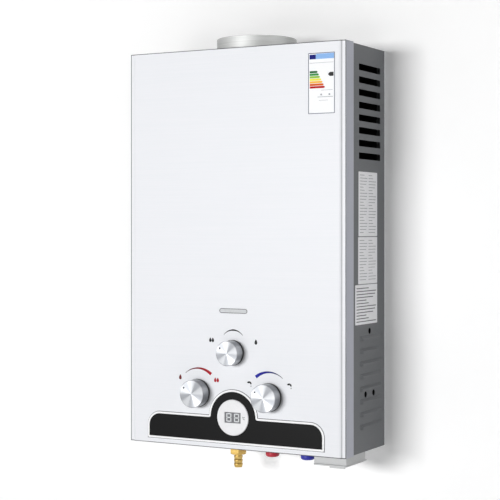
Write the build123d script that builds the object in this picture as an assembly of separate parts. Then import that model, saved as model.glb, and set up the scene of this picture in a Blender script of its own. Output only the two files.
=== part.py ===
from build123d import *
import os
from math import cos, radians, sin

# Wall-hung instantaneous gas water heater, in millimetres. The pieces are drawn with X across the front
# from its middle, Y zero at the wall and negative towards the user, and Z zero at the casing's bottom
# edge. They are written with the origin moved up to the hanging holes.

# Sheet-metal casing
casing_width = 400.0
casing_height = 650.0
cover_sheet = 1.0
panel_sheet = 1.0
nest_gap = 0.3
cover_setback = 4.0
side_lip = 30.0
bottom_lip = 28.0
top_lip_gap = 1.0
edge_margin = 6.8
edge_step_width = 3.4
edge_step_drop = 2.2
edge_bend = 1.2
panel_flange = 12.0
panel_return = 8.0
overrun = 2.0

# Flue collar, whose diameter and room set the casing's depth
flue_diameter = 133.0
flue_rear_room = 7.0
flue_front_room = 13.0
collar_wall = 1.2
collar_rise = 21.0
collar_foot_width = 3.0
collar_foot_sheet = 1.0
collar_lead = 0.6

# Hanging and fixing holes, and the pressed ribs of the rear panel
hang_top_gap = 50.0
hang_spacing = 280.0
keyhole_entry_radius = 6.5
keyhole_slot_radius = 3.5
keyhole_rise = 12.0
lower_hole_height = 30.0
lower_hole_radius = 3.25
rear_rib_length = 170.0
rear_rib_width = 22.0
rear_rib_depth = 3.0
rear_rib_taper = 45.0
rear_rib_height_shares = (0.25, 0.52, 0.78)

# Side panel slots, louvres and round holes
vent_count = 8
vent_front_gap = 22.8
vent_height = 10.4
vent_pitch = 20.1
vent_top_gap = 36.7
vent_rear_gap = 17.0
vent_corner = 1.5
louvre_count = 8
louvre_front_gap = 28.0
louvre_height = 8.0
louvre_pitch = 20.1
louvre_low = 38.0
louvre_rear_gap = 14.0
louvre_reach = 3.5
louvre_taper = 50.0
case_hole_radius = 5.0
case_hole_rear_gap = 59.0
case_hole_spread = 31.0
case_hole_row = 2

# Air slots and screws of the bottom panel
air_slot_count = 9
air_slot_length = 20.0
air_slot_width = 6.0
air_slot_pitch = 26.0
air_slot_rear_gap = 14.0
screw_spread = 300.0
screw_setback = 20.0
screw_radius = 2.0
screw_head_radius = 4.0
screw_head = 2.2
screw_length = 9.0

# Knobs and spindles
knob_spread = 66.0
knob_height = 88.0
season_height = 156.5
knob_radius = 22.4
season_knob_radius = 20.0
knob_length = 20.5
knob_skirt_flare = 0.55
knob_skirt = 2.5
cap_sheet = 1.0
cap_edge = 0.8
cap_fit = 0.15
core_wall = 2.0
core_web = 1.6
core_rib = 1.6
core_rib_count = 6
hub_radius = 7.0
pointer_radius = 1.8
pointer_depth = 0.5
pointer_inset = 5.2
pointer_angle = 57.0
spindle_radius = 4.0
spindle_flat = 1.0
spindle_roof = 0.35
spindle_tip_gap = 1.0
spindle_hole_radius = 7.0
running_gap = 0.05
gland_flats = 17.0
gland_length = 7.0

# Sight window
window_width = 52.0
window_height = 7.6
window_rise = 14.8
window_pane = 1.2
window_flange = 3.0
window_fit = 0.1

# Fascia and display
fascia_width = 320.6
fascia_low = 12.0
fascia_shoulder = 37.5
fascia_corner = 20.0
fascia_fillet = 4.0
fascia_sheet = 1.6
hump_radius = 41.5
frame_border = 3.2
frame_sheet = 1.2
frame_fit = 0.15
display_rise = 39.5
display_radius = 29.0
display_fit = 0.3
bezel_proud = 2.6
bezel_edge = 0.8
sleeve_inset = 4.0
sleeve_wall = 1.5
sleeve_length = 17.0
screen_width = 30.0
screen_height = 17.4
screen_margin = 0.8
screen_depth = 3.0
board_sheet = 1.6
board_fit = 0.2
housing_wall = 1.5
housing_overlap = 6.0
housing_port_radius = 4.0

# Exchanger, burner and flue hood
chamber_side_room = 50.0
chamber_rear_room = 18.0
chamber_front_room = 28.0
chamber_height = 246.0
chamber_sheet = 1.0
chamber_sight_width = 44.0
chamber_sight_height = 10.0
hood_sheet = 0.8
hood_neck = 25.0
hood_brim = 2.0
hood_window_length = 60.0
hood_window_height = 12.0
hood_window_rise = 14.0
hood_window_inset = 75.0
fin_count = 10
fin_sheet = 0.8
fin_height = 52.0
fin_top_gap = 4.0
fin_end_gap = 24.0
pipe_radius = 6.0
pipe_bend = 10.5
tube_rear_margin = 14.0
tube_front_margin = 20.0
tube_count = 3
coil_gap = 0.3
coil_side_room = 20.0
coil_low_rise = 61.0
coil_climb = 30.0
coil_join_drop = 19.0
coil_stub = 8.0
union_flats = 19.0
union_length = 12.0
bracket_width = 20.0
bracket_sheet = 1.5
bracket_flange = 12.0
bracket_inset = 40.0
bracket_upper_rise = 120.0
bracket_lower_rise = 12.0
burner_wall = 1.5
burner_height = 40.0
burner_axis_rise = 8.5
burner_ledge = 8.0
burner_count = 10
burner_end_gap = 24.0
mixer_radius = 6.0
mixer_mouth_radius = 3.6
mixer_mouth_depth = 15.0
bar_web = 4.0
bar_head_width = 9.0
bar_head = 6.0
bar_proud = 2.5
bar_end_gap = 0.3
manifold_end_gap = 5.0
manifold_height = 14.0
manifold_depth = 12.0
manifold_gap = 6.0
manifold_corner = 4.0
manifold_lug = 12.0
manifold_lug_inset = 14.0
nozzle_radius = 3.2
nozzle_tip_radius = 2.0
nozzle_length = 5.5
electrode_spread = 24.0
electrode_offset = 48.0
electrode_rise = 13.0
ceramic_radius = 4.0
ceramic_flange_radius = 6.5
ceramic_flange = 3.0
ceramic_front = 9.0
ceramic_rear = 12.0
electrode_radius = 1.2
electrode_reach = 26.0
overheat_radius = 9.0
overheat_height = 5.0
overheat_stem_radius = 5.0
overheat_stem = 4.0
overheat_inset = 50.0
overheat_rise = 150.0

# Gas train
hot_pipe_room = 12.5
gas_inlet_offset = 33.0
valve_depth = 50.0
valve_corner = 5.0
gas_body_half = 26.0
gas_body_low = 50.0
valve_head = 3.0
valve_boss_radius = 13.0
valve_boss = 10.0
bore_reach = 14.0
inlet_radius = 9.0
inlet_seat_radius = 14.0
inlet_seat = 4.0
inlet_drop = 10.0
inlet_fit = 0.1
riser_offset = 16.0
riser_setback = 17.0
season_radius = 12.0
season_front_room = 13.0
season_tail = 9.0
season_port_radius = 8.0
riser_run = 14.0
season_neck = 18.0
season_neck_depth = 8.0
season_neck_rise = 2.0
nut_flats = 26.0
nut_lead = 4.0
nut_low = 20.0
nut_high = 6.0
barb_collar = 3.0
barb_neck_radius = 6.1
barb_neck_gap = 3.0
barb_crest_radius = 7.5
barb_root_radius = 6.2
barb_land = 2.0
barb_pitch = 6.4
barb_count = 3
barb_bore_radius = 4.0

# Water train
hot_offset = 34.0
cold_box_room = 31.0
thread_radius = 10.48
thread_drop = 17.5
thread_bore_radius = 6.5
stub_flats = 27.0
stub_seat = 6.0
stub_neck_radius = 9.0
elbow_half = 13.0
elbow_height = 30.0
elbow_outlet_height = 16.0
elbow_outlet_lip = 1.0
hot_cross_height = 120.0
hot_side_gap = 1.0
thread_cap_wall = 0.92
cap_fit_gap = 0.1
cap_floor = 1.5
cap_length = 15.5
cap_round = 4.0
cap_end_gap = 0.5
water_body_low = 44.0
water_body_left = 20.0
cold_land = 15.0
feed_offset = 3.0
feed_port_radius = 9.0
feed_port = 6.0
feed_rise = 12.0
link_height = 70.0
diaphragm_radius = 27.5
diaphragm_sheet = 2.0
diaphragm_flange = 6.0
dish_length = 10.0
dish_radius = 22.0
dish_wall = 2.5
dish_flange = 2.0
dish_boss = 8.0
dish_boss_radius = 6.5
link_radius = 3.0
link_disc_radius = 14.0
link_disc = 2.5
link_collar_radius = 7.0
link_collar = 3.0
gas_port_right = 18.0
gas_port_radius = 16.0
gas_port_wall = 3.0
gas_disc_radius = 10.0
gas_disc = 3.0
gas_disc_gap = 1.0
lever_sheet = 1.0
lever_width = 6.0
lever_gap = 0.8
lever_arm = 16.0
lever_eye_radius = 2.6
lever_pin_radius = 1.2
lever_clear = 0.6
switch_width = 20.0
switch_depth = 10.0
switch_height = 18.5
switch_drop = 7.3
switch_plate = 1.5
switch_plate_half = 10.0

# Battery box under the casing
cell_diameter = 34.2
cell_length = 61.5
cell_gap = 0.4
cell_nub_radius = 4.5
cell_nub = 1.5
box_wall = 2.0
box_side_room = 14.0
box_lip_gap = 6.0
box_corner = 3.0
box_drop = 16.5
latch_bay = 19.0
box_flange = 4.0
contact_gap = 0.3
lid_sheet = 2.2
lid_lip = 2.0
tab_width = 26.0
tab_depth = 4.0
tab_drop = 2.5
hinge_setback = 3.9
hinge_rise = 3.0
hinge_radius = 3.0
hinge_pin_radius = 1.5
ear_width = 6.0
ear_inset = 6.0
ear_gap = 0.5

# Igniter
igniter_depth = 25.0
igniter_width = 45.0
igniter_height = 75.0
igniter_front_room = 11.0
igniter_low = 150.0
igniter_corner = 5.0
igniter_boss_radius = 5.0
igniter_boss = 4.0
lead_radius = 2.0
lead_bend = 10.0
lead_exit_rise = 58.0
lead_straight = 18.0
lead_sag = 16.0
lead_dip_share = 0.45

# Planes and places worked out from the sizes above
casing_depth = flue_rear_room + flue_diameter + flue_front_room
half_width = casing_width / 2
front_y = -casing_depth
cover_back_y = front_y + cover_sheet
hang_height = casing_height - hang_top_gap
top_lip = flue_front_room - collar_foot_width - top_lip_gap
panel_half = half_width - cover_sheet - nest_gap
panel_low = cover_sheet + nest_gap
panel_high = casing_height - cover_sheet - nest_gap
panel_front_y = front_y + cover_setback
inner_half = panel_half - panel_sheet
inner_low = panel_low + panel_sheet
inner_high = panel_high - panel_sheet
inner_rear_y = -panel_sheet
flue_y = -flue_rear_room - flue_diameter / 2
flue_bore_radius = flue_diameter / 2 - collar_wall
vent_length = casing_depth - side_lip - vent_rear_gap - vent_front_gap
louvre_length = casing_depth - side_lip - louvre_rear_gap - louvre_front_gap
screw_y = front_y + screw_setback
gas_x = -knob_spread
water_x = knob_spread
chamber_half = half_width - chamber_side_room
chamber_width = 2 * chamber_half
chamber_rear_y = -chamber_rear_room
chamber_front_y = front_y + chamber_front_room
chamber_depth = chamber_rear_y - chamber_front_y
chamber_y = (chamber_rear_y + chamber_front_y) / 2
tube_rear_y = chamber_rear_y - tube_rear_margin
tube_pitch = (chamber_depth - tube_rear_margin - tube_front_margin) / (tube_count - 1)
tube_ys = [tube_rear_y - tube_pitch * row for row in range(tube_count)]
valve_y = tube_rear_y - pipe_radius - hot_pipe_room - diaphragm_radius
valve_body_high = knob_height + valve_boss_radius + valve_head
valve_front_y = valve_y - valve_depth / 2
valve_rear_y = valve_y + valve_depth / 2
knob_places = {
    "gas": (gas_x, knob_height, valve_front_y - valve_boss),
    "water": (water_x, knob_height, valve_front_y - valve_boss),
    "season": (0, season_height, front_y + season_front_room),
}
knob_radii = {"gas": knob_radius, "water": knob_radius, "season": season_knob_radius}
knob_roof = knob_length - cap_sheet - cap_fit - core_web
spindle_seat = knob_roof - spindle_roof
knob_base_y = front_y - fascia_sheet - nest_gap
display_height = fascia_low + display_rise
sleeve_radius = display_radius - sleeve_inset
manifold_low = season_height + season_radius + season_neck_rise
burner_axis = manifold_low + manifold_height / 2
burner_low = burner_axis - burner_axis_rise
burner_high = burner_low + burner_height
chamber_low = burner_high
chamber_high = chamber_low + chamber_height
manifold_rear_y = chamber_front_y - manifold_gap
manifold_front_y = manifold_rear_y - manifold_depth
window_z = chamber_low + window_rise
hood_high = inner_high - hood_neck
fin_high = chamber_high - fin_top_gap
fin_low = fin_high - fin_height
tube_z = (fin_low + fin_high) / 2
fin_pitch = (chamber_width - 2 * fin_end_gap) / (fin_count - 1)
burner_pitch = (chamber_width - 2 * burner_end_gap) / (burner_count - 1)
coil_x = chamber_half + coil_side_room
coil_rear_y = chamber_rear_y + coil_gap + pipe_radius
coil_front_y = chamber_front_y - coil_gap - pipe_radius
coil_low = chamber_low + coil_low_rise
coil_high = coil_low + coil_climb
coil_join = chamber_low - coil_join_drop
coil_end_x = -chamber_half - coil_stub
gas_inlet_x = gas_x + gas_inlet_offset
riser_x = gas_x + riser_offset
riser_y = valve_y - riser_setback
season_port_x = -riser_x - union_length - riser_run
hot_x = water_x - hot_offset
box_cell_width = cell_diameter + 2 * cell_gap
box_right = half_width - box_side_room
box_cell_right = box_right - latch_bay
box_left = box_cell_right - 2 * box_wall - box_cell_width
cold_x = box_left - cold_box_room
feed_x = cold_x + feed_offset
hot_side_x = -coil_x - 2 * pipe_radius - hot_side_gap
feed_port_z = valve_body_high + feed_port
feed_cross_height = feed_port_z + union_length + feed_rise
barb_collar_radius = inlet_radius - inlet_fit
barb_neck_end = nut_low + barb_neck_gap
cap_radius = thread_radius + cap_fit_gap + thread_cap_wall
diaphragm_face_x = water_x - water_body_left - diaphragm_flange
dish_rim_x = diaphragm_face_x - diaphragm_sheet
dish_left_x = dish_rim_x - dish_length
dish_boss_x = dish_left_x - dish_boss
gas_body_right = gas_x + gas_body_half
gas_chest_right = -gas_port_right - gas_port_wall
lever_x = -lever_gap - lever_sheet / 2
lever_tip = link_height + link_radius + lever_clear
lever_pivot = (lever_tip + link_height + link_collar_radius) / 2 + lever_arm
box_cell_depth = 2 * cell_diameter + 3 * cell_gap
box_front_y = front_y + bottom_lip + box_lip_gap
box_rear_y = box_front_y + 2 * box_wall + box_cell_depth
cell_low = -box_drop + cell_gap
cell_high = cell_low + cell_length + cell_nub
box_roof = cell_high + contact_gap
lid_high = -box_drop - nest_gap
lid_low = lid_high - lid_sheet
hinge_y = box_rear_y + hinge_setback
hinge_z = -box_drop + hinge_rise
electrode_z = chamber_low + electrode_rise


def block(x0, x1, y0, y1, z0, z1):
    """Box between two corners."""
    return Pos((x0 + x1) / 2, (y0 + y1) / 2, (z0 + z1) / 2) * Box(x1 - x0, y1 - y0, z1 - z0)


def rod_x(y, z, x0, x1, radius):
    """Cylinder along X."""
    return Pos((x0 + x1) / 2, y, z) * Rot(0, 90, 0) * Cylinder(radius, x1 - x0)


def rod_y(x, z, y0, y1, radius):
    """Cylinder along Y."""
    return Pos(x, (y0 + y1) / 2, z) * Rot(90, 0, 0) * Cylinder(radius, y1 - y0)


def rod_z(x, y, z0, z1, radius):
    """Cylinder along Z."""
    return Pos(x, y, (z0 + z1) / 2) * Cylinder(radius, z1 - z0)


def turned(points):
    """Solid of revolution about Z from (radius, height) points."""
    return revolve(Plane.XZ * Polygon(*points, align=None), Axis.Z)


def hex_nut(flats, bore, length):
    """Hexagon nut standing on the XY plane."""
    outline = RegularPolygon(flats / 2, 6, major_radius=False) - Circle(bore)
    return extrude(outline, amount=length)


def front_plane(y):
    """Upright plane at depth y, seen from the front: X to the right, Z up, normal to the user."""
    return Plane(origin=(0, y, 0), x_dir=(1, 0, 0), z_dir=(0, -1, 0))


def side_plane(x):
    """Upright plane at x, seen from the right: Y and Z in the plane, normal along X."""
    return Plane(origin=(x, 0, 0), x_dir=(0, 1, 0), z_dir=(1, 0, 0))


def plate(outline, rear_y, thickness):
    """Flat piece with a front outline, from rear_y towards the user."""
    return extrude(front_plane(rear_y) * outline, amount=thickness)


def pipe(points, radius, bend):
    """Round bar along straight runs joined by tangent arcs."""
    path = FilletPolyline(*points, radius=bend)
    section = Plane(origin=path @ 0, z_dir=path % 0) * Circle(radius)
    return sweep(section, path)


def group(pieces):
    """Several separate solids kept in one node."""
    return Compound(list(pieces))


def mirrored(shape):
    """The same piece for the other side."""
    return mirror(shape, about=Plane.YZ)


def cover_outline(rear_y):
    """Plan of the front cover: raised front, sloping steps, flat side margins and sides back to rear_y."""
    margin_x = half_width - edge_margin
    margin_y = front_y + edge_step_drop
    right = [(margin_x - edge_step_width, front_y), (margin_x, margin_y), (half_width, margin_y),
             (half_width, rear_y)]
    left = [(-x, y) for x, y in reversed(right)]
    return Polygon(*left, *right, align=None)


def make_front_cover():
    """Folded cover: raised front with bent edges, stepped margins, side and bottom lips, short top lip."""
    rear_y = front_y + side_lip
    inside_half = half_width - cover_sheet
    shell = extrude(cover_outline(rear_y), amount=casing_height)
    face = shell.faces().sort_by(Axis.Y)[0]
    shell = fillet(face.edges().filter_by(Axis.X), edge_bend)
    hollow = offset(cover_outline(rear_y + overrun + cover_sheet), amount=-cover_sheet)
    shell -= Pos(0, 0, cover_sheet) * extrude(hollow, amount=casing_height - 2 * cover_sheet)
    middle = casing_height / 2
    shell -= block(-inside_half, inside_half, front_y + top_lip, rear_y + overrun,
                   middle, casing_height + overrun)
    shell -= block(-inside_half, inside_half, front_y + bottom_lip, rear_y + overrun, -overrun, middle)
    for x, z, _ in knob_places.values():
        shell -= rod_y(x, z, front_y - overrun, cover_back_y + overrun, spindle_hole_radius)
    shell -= rod_y(0, display_height, front_y - overrun, cover_back_y + overrun,
                   sleeve_radius + display_fit)
    slot = Pos(0, window_z) * SlotOverall(window_width, window_height)
    shell -= plate(slot, cover_back_y + overrun, cover_sheet + 2 * overrun)
    for x in (-screw_spread / 2, screw_spread / 2):
        shell -= rod_z(x, screw_y, -overrun, cover_sheet + overrun, screw_radius + nest_gap)
    return shell


def louvre_press():
    """Tapered pressing of one louvre, its upper half only, at zero height on the web's outer face."""
    y = -louvre_rear_gap - louvre_length / 2
    outline = Pos(y, 0) * Rectangle(louvre_length, 2 * louvre_height)
    press = extrude(side_plane(panel_half) * outline, amount=louvre_reach, taper=louvre_taper)
    upper = block(inner_half - overrun, panel_half + louvre_reach + overrun,
                  y - louvre_length, y + louvre_length, 0, louvre_height + overrun)
    return press & upper


def make_side_panel():
    """Right side panel: rear flange, front return, punched slots, louvres and round holes."""
    panel = block(inner_half, panel_half, panel_front_y, 0, panel_low, panel_high)
    panel += block(inner_half - panel_flange, inner_half, inner_rear_y - panel_sheet, inner_rear_y,
                   inner_low, inner_high)
    panel += block(inner_half - panel_return, inner_half, panel_front_y, panel_front_y + panel_sheet,
                   inner_low, inner_high)
    press = louvre_press()
    heights = [louvre_low + louvre_pitch * row for row in range(louvre_count)]
    panel += [Pos(0, 0, z) * press for z in heights]
    panel -= [Pos(-panel_sheet, 0, z) * press for z in heights]
    vent_y = -vent_rear_gap - vent_length / 2
    top_vent = casing_height - vent_top_gap
    vent = RectangleRounded(vent_length, vent_height, vent_corner)
    spots = [Pos(vent_y, top_vent - vent_pitch * row) for row in range(vent_count)]
    cutting = side_plane(inner_half - overrun)
    panel -= [extrude(cutting * spot * vent, amount=panel_sheet + 2 * overrun) for spot in spots]
    half_land = (louvre_pitch + louvre_height) / 2
    lower_z = louvre_low + louvre_pitch * case_hole_row + half_land
    upper_z = heights[-1] + half_land
    lower_ys = [-case_hole_rear_gap - case_hole_spread / 2, -case_hole_rear_gap + case_hole_spread / 2]
    for y, z in [(-case_hole_rear_gap, upper_z)] + [(y, lower_z) for y in lower_ys]:
        panel -= rod_x(y, z, inner_half - overrun, panel_half + overrun, case_hole_radius)
    return panel


def make_rear_panel():
    """Rear panel with two hanging keyholes, two lower holes and pressed stiffening ribs."""
    panel = block(-inner_half, inner_half, inner_rear_y, 0, panel_low, panel_high)
    rib = Rectangle(rear_rib_length, rear_rib_width)
    for share in rear_rib_height_shares:
        spot = Pos(0, casing_height * share)
        panel += extrude(front_plane(inner_rear_y) * spot * rib, amount=rear_rib_depth, taper=rear_rib_taper)
        panel -= extrude(front_plane(0) * spot * rib, amount=rear_rib_depth, taper=rear_rib_taper)
    back, front = overrun, inner_rear_y - overrun
    for x in (-hang_spacing / 2, hang_spacing / 2):
        seat = hang_height + keyhole_rise
        panel -= rod_y(x, hang_height, front, back, keyhole_entry_radius)
        panel -= rod_y(x, seat, front, back, keyhole_slot_radius)
        panel -= block(x - keyhole_slot_radius, x + keyhole_slot_radius, front, back, hang_height, seat)
        panel -= rod_y(x, lower_hole_height, front, back, lower_hole_radius)
    return panel


def make_top_panel():
    """Top panel with the flue hole and a front flange turned down."""
    panel = block(-inner_half, inner_half, panel_front_y, inner_rear_y, inner_high, panel_high)
    flange_half = inner_half - panel_return - nest_gap
    panel += block(-flange_half, flange_half, panel_front_y, panel_front_y + panel_sheet,
                   inner_high - panel_flange, inner_high)
    return panel - rod_z(0, flue_y, inner_high - overrun, panel_high + overrun, flue_bore_radius)


def make_bottom_panel():
    """Bottom panel with the fitting holes, the battery cut-out, air slots and screw holes."""
    panel = block(-inner_half, inner_half, panel_front_y, inner_rear_y, panel_low, inner_low)
    low, high = panel_low - overrun, inner_low + overrun
    panel -= rod_z(gas_inlet_x, valve_y, low, high, inlet_radius + nest_gap)
    for x in (hot_x, cold_x):
        panel -= rod_z(x, valve_y, low, high, thread_radius + nest_gap)
    panel -= block(box_left - nest_gap, box_right + nest_gap, box_front_y - nest_gap,
                   box_rear_y + nest_gap, low, high)
    for x in (-screw_spread / 2, screw_spread / 2):
        panel -= rod_z(x, screw_y, low, high, screw_radius + running_gap)
    slot = SlotOverall(air_slot_length, air_slot_width)
    first_x = -air_slot_pitch * (air_slot_count - 1) / 2
    slot_y = -air_slot_rear_gap
    spots = [Pos(first_x + air_slot_pitch * row, slot_y, low) for row in range(air_slot_count)]
    return panel - [extrude(spot * slot, amount=high - low) for spot in spots]


def make_cover_screws():
    """Pan-head screws up through the cover's bottom lip into the bottom panel."""
    points = [(0, -screw_head), (screw_head_radius - screw_head / 2, -screw_head),
              (screw_head_radius, -screw_head / 2), (screw_head_radius, 0), (screw_radius, 0),
              (screw_radius, screw_length), (0, screw_length)]
    screw = turned(points)
    return group(Pos(x, screw_y, 0) * screw for x in (-screw_spread / 2, screw_spread / 2))


def make_flue_collar():
    """Short flue spigot with a foot flange on the top panel and a chamfered rim."""
    outer = flue_diameter / 2
    foot = outer + collar_foot_width
    foot_top = panel_high + collar_foot_sheet
    rim = casing_height + collar_rise
    points = [(flue_bore_radius, panel_high), (foot, panel_high), (foot, foot_top), (outer, foot_top),
              (outer, rim - collar_lead), (outer - collar_lead, rim), (flue_bore_radius, rim)]
    return Pos(0, flue_y, 0) * turned(points)


def hood_body(inset):
    """Tapered hood from the chamber's rectangle to the square under the flue, drawn in by inset."""
    lower = Rectangle(chamber_width - 2 * inset, chamber_depth - 2 * inset)
    side = 2 * (flue_bore_radius + hood_sheet + hood_brim - inset)
    sections = [Pos(0, chamber_y, chamber_high) * lower, Pos(0, flue_y, hood_high) * Rectangle(side, side)]
    return loft([section.face() for section in sections], ruled=True)


def make_flue_hood():
    """Draught hood: tapered sheet, round neck to the top panel and two relief windows at the front."""
    half = flue_bore_radius + hood_sheet + hood_brim
    hood = hood_body(0) - hood_body(hood_sheet)
    hood += block(-half, half, flue_y - half, flue_y + half, hood_high, hood_high + hood_sheet)
    hood += rod_z(0, flue_y, hood_high, inner_high, flue_bore_radius + hood_sheet)
    hood -= rod_z(0, flue_y, hood_high - overrun, inner_high + overrun, flue_bore_radius)
    low = chamber_high + hood_window_rise
    window_x = chamber_half - hood_window_inset
    for x in (-window_x, window_x):
        hood -= block(x - hood_window_length / 2, x + hood_window_length / 2, front_y, chamber_y,
                      low, low + hood_window_height)
    return hood


def make_combustion_chamber():
    """Open-ended copper chamber with its sight slot, electrode holes and tube holes."""
    wall = chamber_sheet
    chamber = block(-chamber_half, chamber_half, chamber_front_y, chamber_rear_y, chamber_low, chamber_high)
    chamber -= block(-chamber_half + wall, chamber_half - wall, chamber_front_y + wall,
                     chamber_rear_y - wall, chamber_low - overrun, chamber_high + overrun)
    sight = Pos(0, window_z) * SlotOverall(chamber_sight_width, chamber_sight_height)
    chamber -= plate(sight, chamber_front_y + wall + overrun, wall + 2 * overrun)
    for x in electrode_xs():
        chamber -= rod_y(x, electrode_z, chamber_front_y - overrun, chamber_front_y + wall + overrun,
                         ceramic_radius + window_fit)
    for y in tube_ys:
        chamber -= rod_x(y, tube_z, -chamber_half - overrun, chamber_half + overrun,
                         pipe_radius + running_gap)
    return chamber


def make_fins():
    """Copper fins across the top of the chamber, pierced for the tubes."""
    wall = chamber_sheet
    outline = Pos(chamber_y, (fin_low + fin_high) / 2) * Rectangle(chamber_depth - 2 * wall, fin_height)
    outline -= [Pos(y, tube_z) * Circle(pipe_radius + running_gap) for y in tube_ys]
    first_x = -fin_pitch * (fin_count - 1) / 2 - fin_sheet / 2
    return group(extrude(side_plane(first_x + fin_pitch * row) * outline, amount=fin_sheet)
                 for row in range(fin_count))


def make_coil():
    """Water tube: up the right side, once round the chamber and three times through the fins."""
    points = [(coil_x, valve_y, coil_join), (coil_x, valve_y, coil_low), (coil_x, coil_rear_y, coil_low),
              (-coil_x, coil_rear_y, coil_low), (-coil_x, coil_front_y, coil_high),
              (coil_x, coil_front_y, coil_high), (coil_x, tube_ys[-1], coil_high)]
    side = coil_x
    for y in reversed(tube_ys):
        points += [(side, y, tube_z), (-side, y, tube_z)]
        side = -side
    points[-1] = (coil_end_x, tube_ys[0], tube_z)
    return pipe(points, pipe_radius, pipe_bend)


def make_cold_feed():
    """Tube from the water valve up to the coil."""
    points = [(feed_x, valve_y, feed_port_z), (feed_x, valve_y, feed_cross_height),
              (coil_x, valve_y, feed_cross_height), (coil_x, valve_y, coil_join)]
    return pipe(points, pipe_radius, pipe_bend)


def make_hot_pipe():
    """Tube from the fins down the left side and across behind the valves to the hot outlet."""
    y = tube_ys[0]
    points = [(coil_end_x, y, tube_z), (hot_side_x, y, tube_z), (hot_side_x, y, hot_cross_height),
              (hot_x, y, hot_cross_height), (hot_x, y, elbow_outlet_height),
              (hot_x, valve_y + elbow_half, elbow_outlet_height)]
    return pipe(points, pipe_radius, pipe_bend)


def make_gas_riser():
    """Tube from the gas valve up to the season valve."""
    points = [(riser_x, riser_y, valve_body_high), (riser_x, riser_y, season_height),
              (-season_port_x, riser_y, season_height)]
    return pipe(points, pipe_radius, pipe_bend)


def make_pipe_unions():
    """Hexagon unions where the tubes meet each other and the valves."""
    nut = hex_nut(union_flats, pipe_radius + running_gap, union_length)
    half = union_length / 2
    upright = [(coil_x, valve_y, coil_join - half), (feed_x, valve_y, feed_port_z),
               (riser_x, riser_y, valve_body_high)]
    unions = [Pos(*place) * nut for place in upright]
    unions.append(Pos(coil_end_x - half, tube_ys[0], tube_z) * Rot(0, 90, 0) * nut)
    unions.append(Pos(-season_port_x - union_length, riser_y, season_height) * Rot(0, 90, 0) * nut)
    unions.append(Pos(hot_x, valve_y + elbow_half, elbow_outlet_height) * Rot(-90, 0, 0) * nut)
    return group(unions)


def make_exchanger_brackets():
    """Z-shaped brackets from the rear panel to the chamber and to the burner frame."""
    half = bracket_width / 2
    pieces = []
    for z in (chamber_low + bracket_upper_rise, burner_low + bracket_lower_rise):
        bracket = block(-half, half, chamber_rear_y, inner_rear_y, z, z + bracket_sheet)
        bracket += block(-half, half, inner_rear_y - bracket_sheet, inner_rear_y, z, z + bracket_flange)
        bracket += block(-half, half, chamber_rear_y, chamber_rear_y + bracket_sheet,
                         z + bracket_sheet - bracket_flange, z + bracket_sheet)
        bracket_x = chamber_half - bracket_inset
        pieces += [Pos(x, 0, 0) * bracket for x in (-bracket_x, bracket_x)]
    return group(pieces)


def burner_xs():
    """Middles of the burner bars."""
    first_x = -burner_pitch * (burner_count - 1) / 2
    return [first_x + burner_pitch * row for row in range(burner_count)]


def make_burner_frame():
    """Rectangular frame under the chamber, with ledges that carry the bars and holes for the gas jets."""
    wall = burner_wall
    frame = block(-chamber_half, chamber_half, chamber_front_y, chamber_rear_y, burner_low, burner_high)
    frame -= block(-chamber_half + wall, chamber_half - wall, chamber_front_y + wall, chamber_rear_y - wall,
                   burner_low - overrun, burner_high + overrun)
    ledge_top = burner_axis - mixer_radius
    front, rear = chamber_front_y + wall, chamber_rear_y - wall
    for y0, y1 in ((front, front + burner_ledge), (rear - burner_ledge, rear)):
        frame += block(-chamber_half + wall, chamber_half - wall, y0, y1, ledge_top - wall, ledge_top)
    for x in burner_xs():
        frame -= rod_y(x, burner_axis, chamber_front_y - overrun, front + running_gap, mixer_mouth_radius)
    return frame


def make_burner_bars():
    """Slotted-type burner bars: a mixing tube below, a thin web and a flame head."""
    head_low = burner_high + bar_proud - bar_head
    web_middle = (burner_axis + head_low) / 2
    outline = Pos(0, burner_axis) * Circle(mixer_radius)
    outline += Pos(0, web_middle) * Rectangle(bar_web, head_low - burner_axis)
    outline += Pos(0, head_low + bar_head / 2) * Rectangle(bar_head_width, bar_head)
    rear_y = chamber_rear_y - burner_wall - bar_end_gap
    length = chamber_depth - 2 * burner_wall - 2 * bar_end_gap
    bar = plate(outline, rear_y, length)
    mouth_y = rear_y - length
    bar -= rod_y(0, burner_axis, mouth_y - overrun, mouth_y + mixer_mouth_depth, mixer_mouth_radius)
    return group(Pos(x, 0, 0) * bar for x in burner_xs())


def make_gas_manifold():
    """Gas rail in front of the burner, with lugs to the burner frame."""
    middle_y = (manifold_front_y + manifold_rear_y) / 2
    section = Pos(middle_y, burner_axis) * RectangleRounded(manifold_depth, manifold_height, manifold_corner)
    rail_half = chamber_half - manifold_end_gap
    rail = extrude(side_plane(-rail_half) * section, amount=2 * rail_half)
    lug_half = manifold_lug / 2
    lug_low, lug_high = burner_axis - manifold_height / 4, burner_axis + manifold_height / 4
    lug_x = chamber_half - manifold_lug_inset
    for x in (-lug_x, lug_x):
        rail += block(x - lug_half, x + lug_half, middle_y, chamber_front_y, lug_low, lug_high)
    return rail


def make_gas_nozzles():
    """Brass jets from the rail into the mouths of the burner bars."""
    points = [(0, 0), (nozzle_radius, 0), (nozzle_radius, nozzle_length / 2),
              (nozzle_tip_radius, nozzle_length), (0, nozzle_length)]
    jet = Rot(-90, 0, 0) * turned(points)
    return group(Pos(x, manifold_rear_y, burner_axis) * jet for x in burner_xs())


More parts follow.
